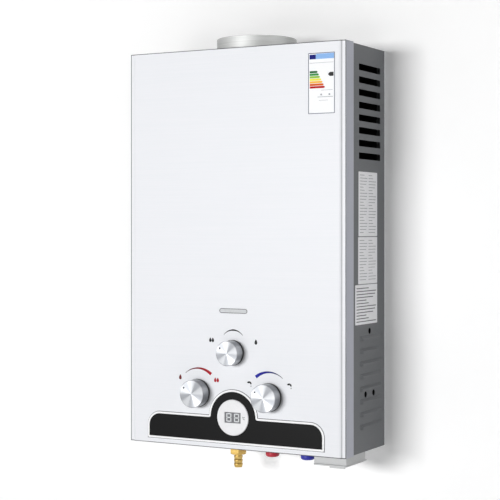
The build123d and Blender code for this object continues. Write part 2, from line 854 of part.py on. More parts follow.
def make_season_valve():
    """Turned valve body under the rail: spindle end to the front, gas port to the left, neck upwards."""
    _, z, front = knob_places["season"]
    body = rod_y(0, z, front, riser_y + season_tail, season_radius)
    body += rod_x(riser_y, z, -season_port_x, 0, season_port_radius)
    body += block(-season_neck / 2, season_neck / 2, manifold_rear_y - season_neck_depth, manifold_rear_y,
                  z, manifold_low)
    return body - rod_y(0, z, front - overrun, front + bore_reach, spindle_radius + running_gap)


def make_gas_valve():
    """Cast gas valve: block, spindle boss, inlet column with its seat, and the shut-off disc's chest."""
    body = block(gas_x - gas_body_half, gas_x + gas_body_half, valve_front_y, valve_rear_y,
                 gas_body_low, valve_body_high)
    body = fillet(body.edges().filter_by(Axis.Z), valve_corner)
    body += rod_y(gas_x, knob_height, valve_front_y - valve_boss, valve_y, valve_boss_radius)
    body += rod_x(valve_y, link_height, gas_x, -gas_port_right, gas_port_radius)
    body += rod_z(gas_inlet_x, valve_y, -inlet_drop, link_height, inlet_radius)
    body += rod_z(gas_inlet_x, valve_y, inner_low, inner_low + inlet_seat, inlet_seat_radius)
    chest_radius = gas_port_radius - gas_port_wall
    body -= rod_x(valve_y, link_height, gas_body_right + gas_port_wall, gas_chest_right, chest_radius)
    body -= rod_x(valve_y, link_height, gas_chest_right - overrun, -gas_port_right + overrun,
                  link_radius + running_gap)
    front = valve_front_y - valve_boss
    return body - rod_y(gas_x, knob_height, front - overrun, front + bore_reach,
                        spindle_radius + running_gap)


def make_gas_nut():
    """Brass union nut on the gas inlet, its lower corners turned off to a cone."""
    nut = Pos(0, 0, -nut_low) * hex_nut(nut_flats, barb_neck_radius + inlet_fit, nut_low - nut_high)
    corner = nut_flats / 2 / cos(radians(30))
    points = [(0, -nut_low), (nut_flats / 2, -nut_low), (corner, nut_lead - nut_low), (corner, -nut_high),
              (0, -nut_high)]
    nut &= turned(points)
    seat = -inlet_drop - barb_collar - inlet_fit
    nut -= rod_z(0, 0, seat, -nut_high + overrun, inlet_radius + inlet_fit)
    return Pos(gas_inlet_x, valve_y, 0) * nut


def make_gas_barb():
    """Brass hose barb held by the union nut."""
    top = -inlet_drop
    points = [(barb_bore_radius, top), (barb_collar_radius, top), (barb_collar_radius, top - barb_collar),
              (barb_neck_radius, top - barb_collar), (barb_neck_radius, -barb_neck_end)]
    for ridge in range(barb_count):
        z = -barb_neck_end - barb_pitch * ridge
        points += [(barb_crest_radius, z), (barb_crest_radius, z - barb_land),
                   (barb_root_radius, z - barb_pitch)]
    points.append((barb_bore_radius, -barb_neck_end - barb_pitch * barb_count))
    return Pos(gas_inlet_x, valve_y, 0) * turned(points)


def make_water_valve():
    """Cast water valve: block, spindle boss, diaphragm flange to the left and feed port on top."""
    body = block(water_x - water_body_left, cold_x + cold_land, valve_front_y, valve_rear_y,
                 water_body_low, valve_body_high)
    body = fillet(body.edges().filter_by(Axis.Z), valve_corner)
    body += rod_y(water_x, knob_height, valve_front_y - valve_boss, valve_y, valve_boss_radius)
    flange_radius = diaphragm_radius + inlet_fit
    body += rod_x(valve_y, link_height, diaphragm_face_x, water_x, flange_radius)
    body += rod_z(feed_x, valve_y, valve_body_high - overrun, feed_port_z, feed_port_radius)
    front = valve_front_y - valve_boss
    return body - rod_y(water_x, knob_height, front - overrun, front + bore_reach,
                        spindle_radius + running_gap)


def make_diaphragm():
    """Rubber diaphragm between the water valve and its cover."""
    return rod_x(valve_y, link_height, dish_rim_x, diaphragm_face_x, diaphragm_radius)


def make_diaphragm_cover():
    """Turned dish over the diaphragm, with the boss that guides the linkage rod."""
    bore = link_radius + running_gap
    cavity_radius = dish_radius - dish_wall
    length = dish_boss + dish_length
    floor = dish_boss + dish_wall
    flange = length - dish_flange
    points = [(bore, 0), (dish_boss_radius, 0), (dish_boss_radius, dish_boss), (dish_radius, dish_boss),
              (dish_radius, flange), (diaphragm_radius, flange), (diaphragm_radius, length),
              (cavity_radius, length), (cavity_radius, floor), (bore, floor)]
    return Pos(dish_boss_x, valve_y, link_height) * Rot(0, 90, 0) * turned(points)


def make_linkage_rod():
    """Rod that the diaphragm pushes: pressure disc, lever collar and gas shut-off disc."""
    left = gas_chest_right - gas_disc_gap - gas_disc
    right = dish_rim_x - nest_gap
    disc_left = right - link_disc
    rod = rod_x(valve_y, link_height, left, right, link_radius)
    rod += rod_x(valve_y, link_height, left, left + gas_disc, gas_disc_radius)
    rod += rod_x(valve_y, link_height, 0, link_collar, link_collar_radius)
    return rod + rod_x(valve_y, link_height, disc_left, right, link_disc_radius)


def make_micro_switch():
    """Micro switch on an angle plate that is clamped on the diaphragm cover's boss."""
    shelf_low = lever_pivot - switch_drop + switch_height
    shelf_high = shelf_low + switch_plate
    plate_left = dish_boss_x + switch_plate
    plate_right = plate_left + switch_plate
    half = switch_plate_half
    switch_left = lever_x - switch_width / 2
    body_front = valve_y + lever_width / 2 + nest_gap
    body_rear = body_front + switch_depth
    switch = block(switch_left, switch_left + switch_width, body_front, body_rear,
                   lever_pivot - switch_drop, shelf_low)
    switch += block(switch_left, plate_right, valve_y - half, body_rear, shelf_low, shelf_high)
    upright = block(plate_left, plate_right, valve_y - half, valve_y + half, link_height - half, shelf_high)
    switch += upright - rod_x(valve_y, link_height, plate_left - overrun, plate_right + overrun,
                              dish_boss_radius + inlet_fit)
    pin_front = valve_y - lever_width / 2 - nest_gap
    switch += rod_y(lever_x, lever_pivot, pin_front, body_front, lever_pin_radius)
    head_front = pin_front - lever_sheet
    return switch + rod_y(lever_x, lever_pivot, head_front, pin_front, lever_eye_radius)


def make_switch_lever():
    """Strip lever of the micro switch, moved by the rod's collar."""
    front, rear = valve_y - lever_width / 2, valve_y + lever_width / 2
    half = lever_sheet / 2
    lever = block(lever_x - half, lever_x + half, front, rear, lever_tip, lever_pivot)
    lever += rod_y(lever_x, lever_pivot, front, rear, lever_eye_radius)
    return lever - rod_y(lever_x, lever_pivot, front - overrun, rear + overrun,
                         lever_pin_radius + running_gap)


def make_cold_stub():
    """Threaded inlet stub through the bottom panel, with a hexagon seat and a neck to the valve."""
    stub = rod_z(0, 0, -thread_drop, inner_low, thread_radius)
    stub += Pos(0, 0, inner_low) * hex_nut(stub_flats, thread_bore_radius, stub_seat)
    stub += rod_z(0, 0, inner_low, water_body_low, stub_neck_radius)
    stub -= rod_z(0, 0, -thread_drop - overrun, water_body_low + overrun, thread_bore_radius)
    return Pos(cold_x, valve_y, 0) * stub


def make_hot_stub():
    """Threaded outlet stub through the bottom panel, with an elbow block whose outlet faces the wall."""
    stub = block(-elbow_half, elbow_half, -elbow_half, elbow_half, inner_low, elbow_height)
    stub = fillet(stub.edges().filter_by(Axis.Z), valve_corner)
    stub += rod_z(0, 0, -thread_drop, inner_low, thread_radius)
    stub -= rod_z(0, 0, -thread_drop - overrun, elbow_outlet_height, thread_bore_radius)
    stub -= rod_y(0, elbow_outlet_height, 0, elbow_half + overrun, pipe_radius - elbow_outlet_lip)
    return Pos(hot_x, valve_y, 0) * stub


def make_thread_cap(x):
    """Push-on cap over a threaded stub, open upwards, with a rounded closed end."""
    inner = thread_radius + cap_fit_gap
    floor = -thread_drop - cap_end_gap
    low = floor - cap_floor
    cap = rod_z(0, 0, low, low + cap_length, cap_radius)
    cap = fillet(cap.edges().group_by(Axis.Z)[0], cap_round)
    cap -= rod_z(0, 0, floor, low + cap_length + overrun, inner)
    return Pos(x, valve_y, 0) * cap


def electrode_xs():
    """Middles of the two electrodes."""
    return [-electrode_offset - electrode_spread / 2, -electrode_offset + electrode_spread / 2]


def make_electrodes():
    """Spark and flame-sensing electrodes: wires in ceramic sleeves, flanged on the chamber's front."""
    rear = ceramic_rear
    points = [(0, -ceramic_front), (ceramic_radius, -ceramic_front), (ceramic_radius, -ceramic_flange),
              (ceramic_flange_radius, -ceramic_flange), (ceramic_flange_radius, 0), (ceramic_radius, 0),
              (ceramic_radius, rear), (electrode_radius, rear), (electrode_radius, electrode_reach),
              (0, electrode_reach)]
    electrode = Rot(-90, 0, 0) * turned(points)
    return group(Pos(x, chamber_front_y, electrode_z) * electrode for x in electrode_xs())


def make_overheat_switch():
    """Disc thermostat on the chamber's front wall."""
    points = [(0, 0), (overheat_radius, 0), (overheat_radius, overheat_height),
              (overheat_stem_radius, overheat_height),
              (overheat_stem_radius, overheat_height + overheat_stem),
              (0, overheat_height + overheat_stem)]
    place = Pos(chamber_half - overheat_inset, chamber_front_y, chamber_low + overheat_rise)
    return place * Rot(90, 0, 0) * turned(points)


def make_igniter_box():
    """Pulse igniter on the left side panel, with the boss that its lead leaves from."""
    front = front_y + igniter_front_room
    outline = Pos(front + igniter_width / 2, igniter_low + igniter_height / 2)
    outline *= RectangleRounded(igniter_width, igniter_height, igniter_corner)
    box = extrude(side_plane(-inner_half) * outline, amount=igniter_depth)
    right = -inner_half + igniter_depth
    lead_y = chamber_front_y - ceramic_front - lead_radius
    lead_z = igniter_low + lead_exit_rise
    return box + rod_x(lead_y, lead_z, right, right + igniter_boss, igniter_boss_radius)


def make_ignition_lead():
    """High-voltage lead from the igniter's boss, sagging, to the first electrode."""
    start_x = -inner_half + igniter_depth + igniter_boss
    y = chamber_front_y - ceramic_front - lead_radius
    start_z = igniter_low + lead_exit_rise
    end_x = electrode_xs()[0]
    dip_x = start_x + (end_x - start_x) * lead_dip_share
    points = [(start_x, y, start_z), (start_x + lead_straight, y, start_z), (dip_x, y, start_z - lead_sag),
              (end_x - lead_straight, y, electrode_z), (end_x, y, electrode_z)]
    return pipe(points, lead_radius, lead_bend)


def make_spindle(name):
    """Control spindle from the valve's bore to the knob's hub, flatted on one side at the front."""
    x, z, valve_face = knob_places[name]
    rear = valve_face + bore_reach - spindle_tip_gap
    tip = knob_base_y - spindle_seat
    spindle = rod_y(0, 0, tip, rear, spindle_radius)
    flat = spindle_radius - spindle_flat
    spindle -= block(-spindle_radius, spindle_radius, tip - overrun, knob_base_y,
                     flat, spindle_radius + overrun)
    return Pos(x, 0, z) * spindle


def make_gland_nuts():
    """Hexagon gland nuts where the spindles leave the valves."""
    nut = Rot(90, 0, 0) * hex_nut(gland_flats, spindle_radius + nest_gap, gland_length)
    return group(Pos(x, y, z) * nut for x, z, y in knob_places.values())


def make_knob_core(name):
    """Moulded knob core: skirt, hub with a flatted bore, ring wall, closed front and ribs."""
    x, z, _ = knob_places[name]
    skirt = knob_radii[name] + knob_skirt_flare
    ring = knob_radii[name] - cap_sheet - cap_fit
    top = knob_length - cap_sheet - cap_fit
    hollow = ring - core_wall
    roof = knob_roof
    points = [(0, 0), (hub_radius, 0), (hub_radius, roof), (hollow, roof), (hollow, 0), (skirt, 0),
              (skirt, knob_skirt), (ring, knob_skirt), (ring, top), (0, top)]
    core = turned(points)
    rib = block(spindle_radius, ring - core_wall / 2, -core_rib / 2, core_rib / 2, knob_skirt, roof)
    core += [Rot(0, 0, 360 * turn / core_rib_count) * rib for turn in range(core_rib_count)]
    bore = rod_z(0, 0, -overrun, spindle_seat + running_gap, spindle_radius + running_gap)
    flat = spindle_radius - spindle_flat + running_gap
    bore -= block(-hub_radius, hub_radius, flat, hub_radius, -2 * overrun, spindle_seat + overrun)
    return Pos(x, knob_base_y, z) * Rot(90, 0, 0) * (core - bore)


def make_knob_cap(name):
    """Spun metal cap over the knob core, with the drilled pointer dimple."""
    x, z, _ = knob_places[name]
    radius = knob_radii[name]
    inner = radius - cap_sheet
    points = [(inner, knob_skirt), (radius, knob_skirt), (radius, knob_length - cap_edge),
              (radius - cap_edge, knob_length), (0, knob_length), (0, knob_length - cap_sheet),
              (inner, knob_length - cap_sheet)]
    cap = turned(points)
    reach = radius - pointer_inset
    dimple_x = -reach * sin(radians(pointer_angle))
    dimple_y = reach * cos(radians(pointer_angle))
    cap -= rod_z(dimple_x, dimple_y, knob_length - pointer_depth, knob_length + overrun, pointer_radius)
    return Pos(x, knob_base_y, z) * Rot(90, 0, 0) * cap


def make_sight_window():
    """Stepped pane in the cover's slot, with a flange behind the sheet."""
    spot = Pos(0, window_z)
    pane = spot * SlotOverall(window_width - 2 * window_fit, window_height - 2 * window_fit)
    flange = spot * SlotOverall(window_width + 2 * window_flange, window_height + 2 * window_flange)
    window = plate(flange, cover_back_y + window_pane, window_pane)
    return window + plate(pane, cover_back_y, cover_sheet)


def fascia_outline():
    """Front outline of the fascia: a bar with round shoulders and a round hump over the display."""
    bar = Pos(0, fascia_low + fascia_shoulder / 2) * Rectangle(fascia_width, fascia_shoulder)
    bar = fillet(bar.vertices().group_by(Axis.Y)[-1], fascia_corner)
    hump = Pos(0, display_height) * Circle(hump_radius)
    hump -= Pos(0, fascia_low - hump_radius) * Rectangle(2 * hump_radius, 2 * hump_radius)
    outline = bar + hump
    inner_corners = [v for v in outline.vertices()
                     if abs(v.X) < hump_radius + fascia_fillet and v.Y > fascia_low + fascia_shoulder / 2]
    return fillet(inner_corners, fascia_fillet)


def make_fascia_plate():
    """Black fascia plate with the round hole for the display."""
    outline = fascia_outline() - Pos(0, display_height) * Circle(display_radius + display_fit)
    return plate(outline, front_y, fascia_sheet)


def make_fascia_frame():
    """Pale surround that follows the fascia plate's outline."""
    outline = offset(fascia_outline(), amount=frame_border) - offset(fascia_outline(), amount=frame_fit)
    return plate(outline, front_y, frame_sheet)


def make_display_bezel():
    """White display disc with its screen window and a sleeve through the cover."""
    rear = -sleeve_length
    inner = sleeve_radius - sleeve_wall
    points = [(0, 0), (inner, 0), (inner, rear), (sleeve_radius, rear), (sleeve_radius, 0),
              (display_radius, 0), (display_radius, bezel_proud - bezel_edge),
              (display_radius - bezel_edge, bezel_proud), (0, bezel_proud)]
    bezel = turned(points)
    bezel -= block(-screen_width / 2, screen_width / 2, -screen_height / 2, screen_height / 2,
                   -overrun, bezel_proud + overrun)
    return Pos(0, front_y, display_height) * Rot(90, 0, 0) * bezel


def make_display_lens():
    """Display module behind the window, raised to fill it."""
    half_w, half_h = screen_width / 2, screen_height / 2
    lens = block(-half_w - screen_margin, half_w + screen_margin, -half_h - screen_margin,
                 half_h + screen_margin, -screen_depth, 0)
    raised = bezel_proud - bezel_edge
    lens += block(-half_w + window_fit, half_w - window_fit, -half_h + window_fit, half_h - window_fit,
                  -screen_depth, raised)
    return Pos(0, front_y, display_height) * Rot(90, 0, 0) * lens


def make_display_board():
    """Round circuit board behind the display module."""
    rear_y = front_y + screen_depth + board_sheet
    radius = sleeve_radius - sleeve_wall - board_fit
    return plate(Pos(0, display_height) * Circle(radius), rear_y, board_sheet)


def make_display_housing():
    """Rear cap that slips over the display's sleeve, with a cable port."""
    outer = sleeve_radius + window_fit + housing_wall
    length = housing_overlap + housing_wall
    points = [(0, 0), (outer, 0), (outer, length), (sleeve_radius + window_fit, length),
              (sleeve_radius + window_fit, housing_wall), (0, housing_wall)]
    cap = turned(points)
    cap -= rod_z(0, -sleeve_radius / 2, -overrun, housing_wall + overrun, housing_port_radius)
    rear_y = front_y + sleeve_length + housing_wall
    return Pos(0, rear_y, display_height) * Rot(90, 0, 0) * cap


def make_battery_box():
    """Moulded box: deep cell bay, latch bay beside it, flange on the bottom panel and hinge ears."""
    flange_high = inner_low + box_wall
    box = block(box_left, box_right, box_front_y, box_rear_y, -box_drop, flange_high)
    box = fillet(box.edges().filter_by(Axis.Z), box_corner)
    box += block(box_left, box_cell_right, box_front_y, box_rear_y, inner_low, box_roof + box_wall)
    box += block(box_left - box_flange, box_right + box_flange, box_front_y - box_flange,
                 box_rear_y + box_flange, inner_low, flange_high)
    front, rear = box_front_y + box_wall, box_rear_y - box_wall
    box -= block(box_left + box_wall, box_cell_right - box_wall, front, rear, -box_drop - overrun, box_roof)
    box -= block(box_cell_right, box_right - box_wall, front, rear, -box_drop - overrun, inner_low)
    for x in ear_xs():
        ear = block(x, x + ear_width, box_rear_y, hinge_y, hinge_z - hinge_radius, hinge_z + hinge_radius)
        ear += rod_x(hinge_y, hinge_z, x, x + ear_width, hinge_radius)
        box += ear - rod_x(hinge_y, hinge_z, x - overrun, x + ear_width + overrun,
                           hinge_pin_radius + running_gap)
    return box


def ear_xs():
    """Left faces of the two hinge ears."""
    return [box_left + ear_inset, box_right - ear_inset - ear_width]


def make_battery_lid():
    """Drop-down lid with a front lip, a finger tab on its right and a hinge knuckle between the ears."""
    front = box_front_y - lid_lip
    lid = block(box_left, box_right, front, hinge_y, lid_low, lid_high)
    lid = fillet(lid.edges().filter_by(Axis.Z).group_by(Axis.Y)[0], box_corner)
    tab_right = box_right - box_corner
    lid += block(tab_right - tab_width, tab_right, front, front + tab_depth, lid_low - tab_drop, lid_low)
    left, right = ear_xs()
    knuckle_left, knuckle_right = left + ear_width + ear_gap, right - ear_gap
    lid += block(knuckle_left, knuckle_right, hinge_y - hinge_radius / 2, hinge_y, lid_low, hinge_z)
    lid += rod_x(hinge_y, hinge_z, knuckle_left, knuckle_right, hinge_radius)
    return lid - rod_x(hinge_y, hinge_z, knuckle_left - overrun, knuckle_right + overrun,
                       hinge_pin_radius + running_gap)


def make_hinge_pin():
    """Pin through the box's ears and the lid's knuckle."""
    left, right = ear_xs()
    return rod_x(hinge_y, hinge_z, left, right + ear_width, hinge_pin_radius)


def cell_places():
    """Middles of the two upright cells."""
    x = box_left + box_wall + box_cell_width / 2
    first = box_front_y + box_wall + cell_gap + cell_diameter / 2
    return [(x, first), (x, first + cell_diameter + cell_gap)]


def make_battery_cells():
    """Two upright cells with their contact nubs."""
    body_high = cell_low + cell_length
    return group(rod_z(x, y, cell_low, body_high, cell_diameter / 2)
                 + rod_z(x, y, body_high, cell_high, cell_nub_radius) for x, y in cell_places())


side_panel = make_side_panel()
nodes = {
    "front_cover": make_front_cover(),
    "side_panel_right": side_panel,
    "side_panel_left": mirrored(side_panel),
    "rear_panel": make_rear_panel(),
    "top_panel": make_top_panel(),
    "bottom_panel": make_bottom_panel(),
    "cover_screws": make_cover_screws(),
    "flue_collar": make_flue_collar(),
    "flue_hood": make_flue_hood(),
    "combustion_chamber": make_combustion_chamber(),
    "heat_exchanger_fins": make_fins(),
    "exchanger_coil": make_coil(),
    "exchanger_brackets": make_exchanger_brackets(),
    "cold_feed_pipe": make_cold_feed(),
    "hot_outlet_pipe": make_hot_pipe(),
    "gas_riser": make_gas_riser(),
    "pipe_unions": make_pipe_unions(),
    "burner_frame": make_burner_frame(),
    "burner_bars": make_burner_bars(),
    "gas_manifold": make_gas_manifold(),
    "gas_nozzles": make_gas_nozzles(),
    "season_valve_body": make_season_valve(),
    "gas_valve_body": make_gas_valve(),
    "gas_inlet_nut": make_gas_nut(),
    "gas_hose_barb": make_gas_barb(),
    "water_valve_body": make_water_valve(),
    "diaphragm": make_diaphragm(),
    "diaphragm_cover": make_diaphragm_cover(),
    "linkage_rod": make_linkage_rod(),
    "micro_switch": make_micro_switch(),
    "switch_lever": make_switch_lever(),
    "cold_inlet_stub": make_cold_stub(),
    "hot_outlet_stub": make_hot_stub(),
    "cold_cap": make_thread_cap(cold_x),
    "hot_cap": make_thread_cap(hot_x),
    "electrodes": make_electrodes(),
    "overheat_switch": make_overheat_switch(),
    "igniter_box": make_igniter_box(),
    "ignition_lead": make_ignition_lead(),
    "gland_nuts": make_gland_nuts(),
    "sight_window": make_sight_window(),
    "fascia_plate": make_fascia_plate(),
    "fascia_frame": make_fascia_frame(),
    "display_bezel": make_display_bezel(),
    "display_lens": make_display_lens(),
    "display_board": make_display_board(),
    "display_housing": make_display_housing(),
    "battery_box": make_battery_box(),
    "battery_lid": make_battery_lid(),
    "battery_hinge_pin": make_hinge_pin(),
    "battery_cells": make_battery_cells(),
}
for name in knob_places:
    nodes[f"{name}_spindle"] = make_spindle(name)
    nodes[f"{name}_knob_core"] = make_knob_core(name)
    nodes[f"{name}_knob_cap"] = make_knob_cap(name)

os.makedirs("parts", exist_ok=True)
for name, shape in nodes.items():
    export_step(Pos(0, 0, -hang_height) * shape, f"parts/{name}.step")
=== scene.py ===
"""Looks of a wall-hung gas water heater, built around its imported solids.

Sizes below are in millimetres where nothing else is said, and the scene itself is in metres in the row
frame: X to the right seen from the front, Y into the wall and Z up.
"""
import logging
import math
from dataclasses import dataclass, field
from enum import Enum

import bmesh
import bpy
from mathutils import Matrix, Vector


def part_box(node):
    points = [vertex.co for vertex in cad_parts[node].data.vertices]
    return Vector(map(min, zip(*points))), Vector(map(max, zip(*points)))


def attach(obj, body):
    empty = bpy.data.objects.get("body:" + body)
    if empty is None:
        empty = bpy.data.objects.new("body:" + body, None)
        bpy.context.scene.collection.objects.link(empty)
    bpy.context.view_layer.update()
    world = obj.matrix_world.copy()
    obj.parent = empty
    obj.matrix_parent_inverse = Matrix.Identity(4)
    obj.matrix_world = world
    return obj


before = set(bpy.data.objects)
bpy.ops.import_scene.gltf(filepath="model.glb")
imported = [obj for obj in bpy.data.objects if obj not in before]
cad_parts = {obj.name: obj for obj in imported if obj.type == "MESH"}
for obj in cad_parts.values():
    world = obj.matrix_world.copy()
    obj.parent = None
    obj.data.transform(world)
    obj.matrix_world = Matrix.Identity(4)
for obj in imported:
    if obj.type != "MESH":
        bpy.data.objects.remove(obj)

LOG = logging.getLogger("water_heater")
MM = 0.001
IMAGE_SIDE = 500
QUARTER = 90.0
# An outline closes by itself, so a circle's last point stops short of its first, at this clock angle.
CIRCLE_END = 345.0
# Blender's ring wave runs through this many radians in one unit at a scale of 1.
WAVE_RATE = 20.0
# Points of a print's mesh that lie closer than this, in metres, are one point.
MERGE_DISTANCE = 1e-6
Point = tuple[float, float]
Triple = tuple[float, float, float]
Outline = list[Point]
# Left, right, lower and upper edge of a rectangle.
Edges = tuple[float, float, float, float]
# Middle, radius, first and last clock angle, and how many pieces the arc is divided into.
ArcShape = tuple[Point, float, float, float, int]
Tree = bpy.types.NodeTree
Source = bpy.types.Node | bpy.types.NodeSocket
Links = dict[str | int, Source]


class Side(Enum):
    """Which way a flat piece faces, as its turn about Z in degrees."""

    FRONT = 0
    RIGHT = 90
    BACK = 180


class Body(Enum):
    """Rigid bodies that the added pieces ride on."""

    CASING = "casing"
    GAS = "gas_control"
    WATER = "water_control"
    SEASON = "season_control"


def linear(colour: str) -> tuple[float, float, float, float]:
    """Turns an sRGB hex colour into linear values.

    Args:
        colour: Six hex digits, red first.

    Returns:
        Linear red, green and blue, and an alpha of 1.
    """
    parts = [int(colour[i:i + 2], 16) / 255 for i in (0, 2, 4)]
    values = [c / 12.92 if c <= 0.04045 else ((c + 0.055) / 1.055) ** 2.4 for c in parts]
    return (*values, 1.0)


def clear_tree(owner: bpy.types.Material | bpy.types.World) -> Tree:
    """Turns on the nodes of a material or the world, and empties them.

    Args:
        owner: The material or the world.

    Returns:
        Its empty node tree.
    """
    owner.use_nodes = True
    owner.node_tree.nodes.clear()
    return owner.node_tree


def add_node(tree: Tree, kind: str, inputs: dict | None = None, links: Links | None = None,
             **settings: object) -> bpy.types.Node:
    """Adds one shader node.

    Args:
        tree: Node tree that gets the node.
        kind: Blender's name of the node type, after its ShaderNode.
        inputs: Values for named or numbered input sockets.
        links: What feeds named or numbered input sockets; a node gives its first output.
        settings: Properties of the node itself.

    Returns:
        The new node.
    """
    node = tree.nodes.new("ShaderNode" + kind)
    for name, value in settings.items():
        setattr(node, name, value)
    for name, value in (inputs or {}).items():
        node.inputs[name].default_value = value
    for name, source in (links or {}).items():
        socket = source.outputs[0] if isinstance(source, bpy.types.Node) else source
        tree.links.new(socket, node.inputs[name])
    return node


@dataclass(frozen=True)
class Finish:
    """A surface with a fine grain that shifts its colour, gloss and relief.

    Attributes:
        name: Material and how its surface was made.
        colour: Main colour, sRGB hex.
        shade: Colour in the grain's low spots, sRGB hex.
        roughness: Mean roughness.
        spread: How far the grain moves the roughness each way.
        metallic: 1 for uncoated metal.
        grain: Grain size.
        relief: Height of the grain.
        coat: Weight of a clear coat.
        anisotropy: Stretch of the highlight.
        specular: Strength of the surface's mirror part, 0.5 for common plastics and paints.
        stretch: How many grain sizes a grain is long along X, Y and Z.
        detail: How many finer layers the grain has.
        tones: Values at which the shade ends and the main colour starts.
    """

    name: str
    colour: str
    shade: str
    roughness: float
    spread: float = 0.05
    metallic: float = 0.0
    grain: float = 2.0
    relief: float = 0.02
    coat: float = 0.0
    anisotropy: float = 0.0
    specular: float = 0.5
    stretch: Triple = (1.0, 1.0, 1.0)
    detail: float = 3.0
    tones: tuple[float, float] = (0.3, 0.7)

    def material(self) -> bpy.types.Material:
        """Gives the finish's material, made on its first use.

        Returns:
            The material.
        """
        if self.name in bpy.data.materials:
            return bpy.data.materials[self.name]
        made = bpy.data.materials.new(self.name)
        tree = clear_tree(made)
        shader = add_node(tree, "BsdfPrincipled", {
            "Metallic": self.metallic, "Coat Weight": self.coat, "Anisotropic": self.anisotropy,
            "Specular IOR Level": self.specular}, self.pattern(tree))
        add_node(tree, "OutputMaterial", links={"Surface": shader})
        return made

    def pattern(self, tree: Tree) -> Links:
        """Drives colour, roughness and relief from values between 0 and 1.

        Args:
            tree: The material's node tree.

        Returns:
            What feeds the shader's inputs.
        """
        grain = self.grain_value(tree)
        ramp = add_node(tree, "ValToRGB", links={"Fac": self.colour_value(tree, grain)})
        for stop, place, tone in zip(ramp.color_ramp.elements, self.tones, (self.shade, self.colour)):
            stop.position = place
            stop.color = linear(tone)
        limits = {"To Min": self.roughness + self.spread, "To Max": self.roughness - self.spread}
        gloss = add_node(tree, "MapRange", limits, {"Value": grain})
        links = {"Base Color": ramp, "Roughness": gloss}
        if self.relief:
            height = {"Distance": self.relief * MM, "Strength": 1.0}
            links["Normal"] = add_node(tree, "Bump", height, {"Height": grain})
        return links

    def grain_value(self, tree: Tree) -> Source:
        """Adds noise whose features have the grain's size.

        Args:
            tree: The material's node tree.

        Returns:
            The noise value.
        """
        place = add_node(tree, "TexCoord")
        scale = Vector([1 / (self.grain * length * MM) for length in self.stretch])
        mapping = add_node(tree, "Mapping", {"Scale": scale}, {"Vector": place.outputs["Object"]})
        noise = add_node(tree, "TexNoise", {"Scale": 1.0, "Detail": self.detail}, {"Vector": mapping})
        return noise.outputs["Fac"]

    def colour_value(self, tree: Tree, grain: Source) -> Source:
        """Gives what the colour follows, which is the grain."""
        return grain


@dataclass(frozen=True)
class SpunFinish(Finish):
    """Metal faced on a lathe: fine rings about the piece's own axis, and a painted highlight as a fan
    of bright wedges.

    Attributes:
        detail: How many finer layers the rings' wobble has.
        centre: A point on the axis, in metres.
        ring: Spacing of the rings. The real ones are finer, and these are as coarse as shows.
        wobble: How uneven the rings are.
        wedges: How many bright wedges the fan has.
        painted_fan_share: How much of the look follows the painted highlight's fan; the rest follows
            the rings.
    """

    detail: float = 1.0
    centre: Triple = (0.0, 0.0, 0.0)
    ring: float = 0.7
    wobble: float = 0.4
    wedges: int = 5
    painted_fan_share: float = 0.75

    def pattern(self, tree: Tree) -> Links:
        """Turns the highlight round the axis Y as well."""
        tangent = add_node(tree, "Tangent", direction_type="RADIAL", axis="Y")
        return super().pattern(tree) | {"Tangent": tangent}

    def grain_value(self, tree: Tree) -> Source:
        """Adds rings about Y, and wedges of painted highlight round it.

        Args:
            tree: The material's node tree.

        Returns:
            The sum of their shares.
        """
        place = add_node(tree, "TexCoord")
        shift = add_node(tree, "Mapping", {"Location": -Vector(self.centre)},
                         {"Vector": place.outputs["Object"]})
        scale = 2 * math.pi / (WAVE_RATE * self.ring * MM)
        rings = add_node(tree, "TexWave",
                         {"Scale": scale, "Distortion": self.wobble, "Detail": self.detail},
                         {"Vector": shift}, wave_type="RINGS", rings_direction="Y")
        axes = add_node(tree, "SeparateXYZ", links={"Vector": shift}).outputs
        # Painted highlight: the colour brightens and darkens in wedges round the axis.
        clock = add_node(tree, "Math", links={0: axes["X"], 1: axes["Z"]}, operation="ARCTAN2")
        turns = add_node(tree, "Math", {1: self.wedges}, {0: clock}, operation="MULTIPLY")
        wave = add_node(tree, "Math", links={0: turns}, operation="COSINE")
        fan = add_node(tree, "MapRange", {"From Min": -1.0, "To Max": self.painted_fan_share}, {"Value": wave})
        return add_node(tree, "Math", {1: 1 - self.painted_fan_share}, {0: rings.outputs["Fac"], 2: fan},
                        operation="MULTIPLY_ADD")


@dataclass(frozen=True)
class SpangleFinish(Finish):
    """Hot-dipped zinc: flat crystals of slightly different grey, each with its own gloss."""

    def grain_value(self, tree: Tree) -> Source:
        """Adds cells of the grain's size.

        Args:
            tree: The material's node tree.

        Returns:
            A value of its own for each cell.
        """
        place = add_node(tree, "TexCoord")
        cells = add_node(tree, "TexVoronoi", {"Scale": 1 / (self.grain * MM)},
                         {"Vector": place.outputs["Object"]})
        return add_node(tree, "RGBToBW", links={"Color": cells.outputs["Color"]})


@dataclass(frozen=True)
class InnerShadeFinish(SpangleFinish):
    """Hot-dipped zinc whose inner side, which faces forward to the burner, is painted dark as shade.

    Attributes:
        inner_shade: Painted shade of the inner side, sRGB hex.
        turned: A face is an inner one where its normal's Y is below this.
    """

    inner_shade: str = "141415"
    turned: float = -0.5

    def pattern(self, tree: Tree) -> Links:
        """Paints shade on the faces that look forward.

        Args:
            tree: The material's node tree.

        Returns:
            What feeds the shader's inputs.
        """
        links = super().pattern(tree)
        faces = add_node(tree, "NewGeometry")
        axes = add_node(tree, "SeparateXYZ", links={"Vector": faces.outputs["Normal"]}).outputs
        inner = add_node(tree, "Math", {1: self.turned}, {0: axes["Y"]}, operation="LESS_THAN")
        blend = add_node(tree, "MixRGB", {"Color2": linear(self.inner_shade)},
                         {"Fac": inner, "Color1": links["Base Color"]})
        return links | {"Base Color": blend}


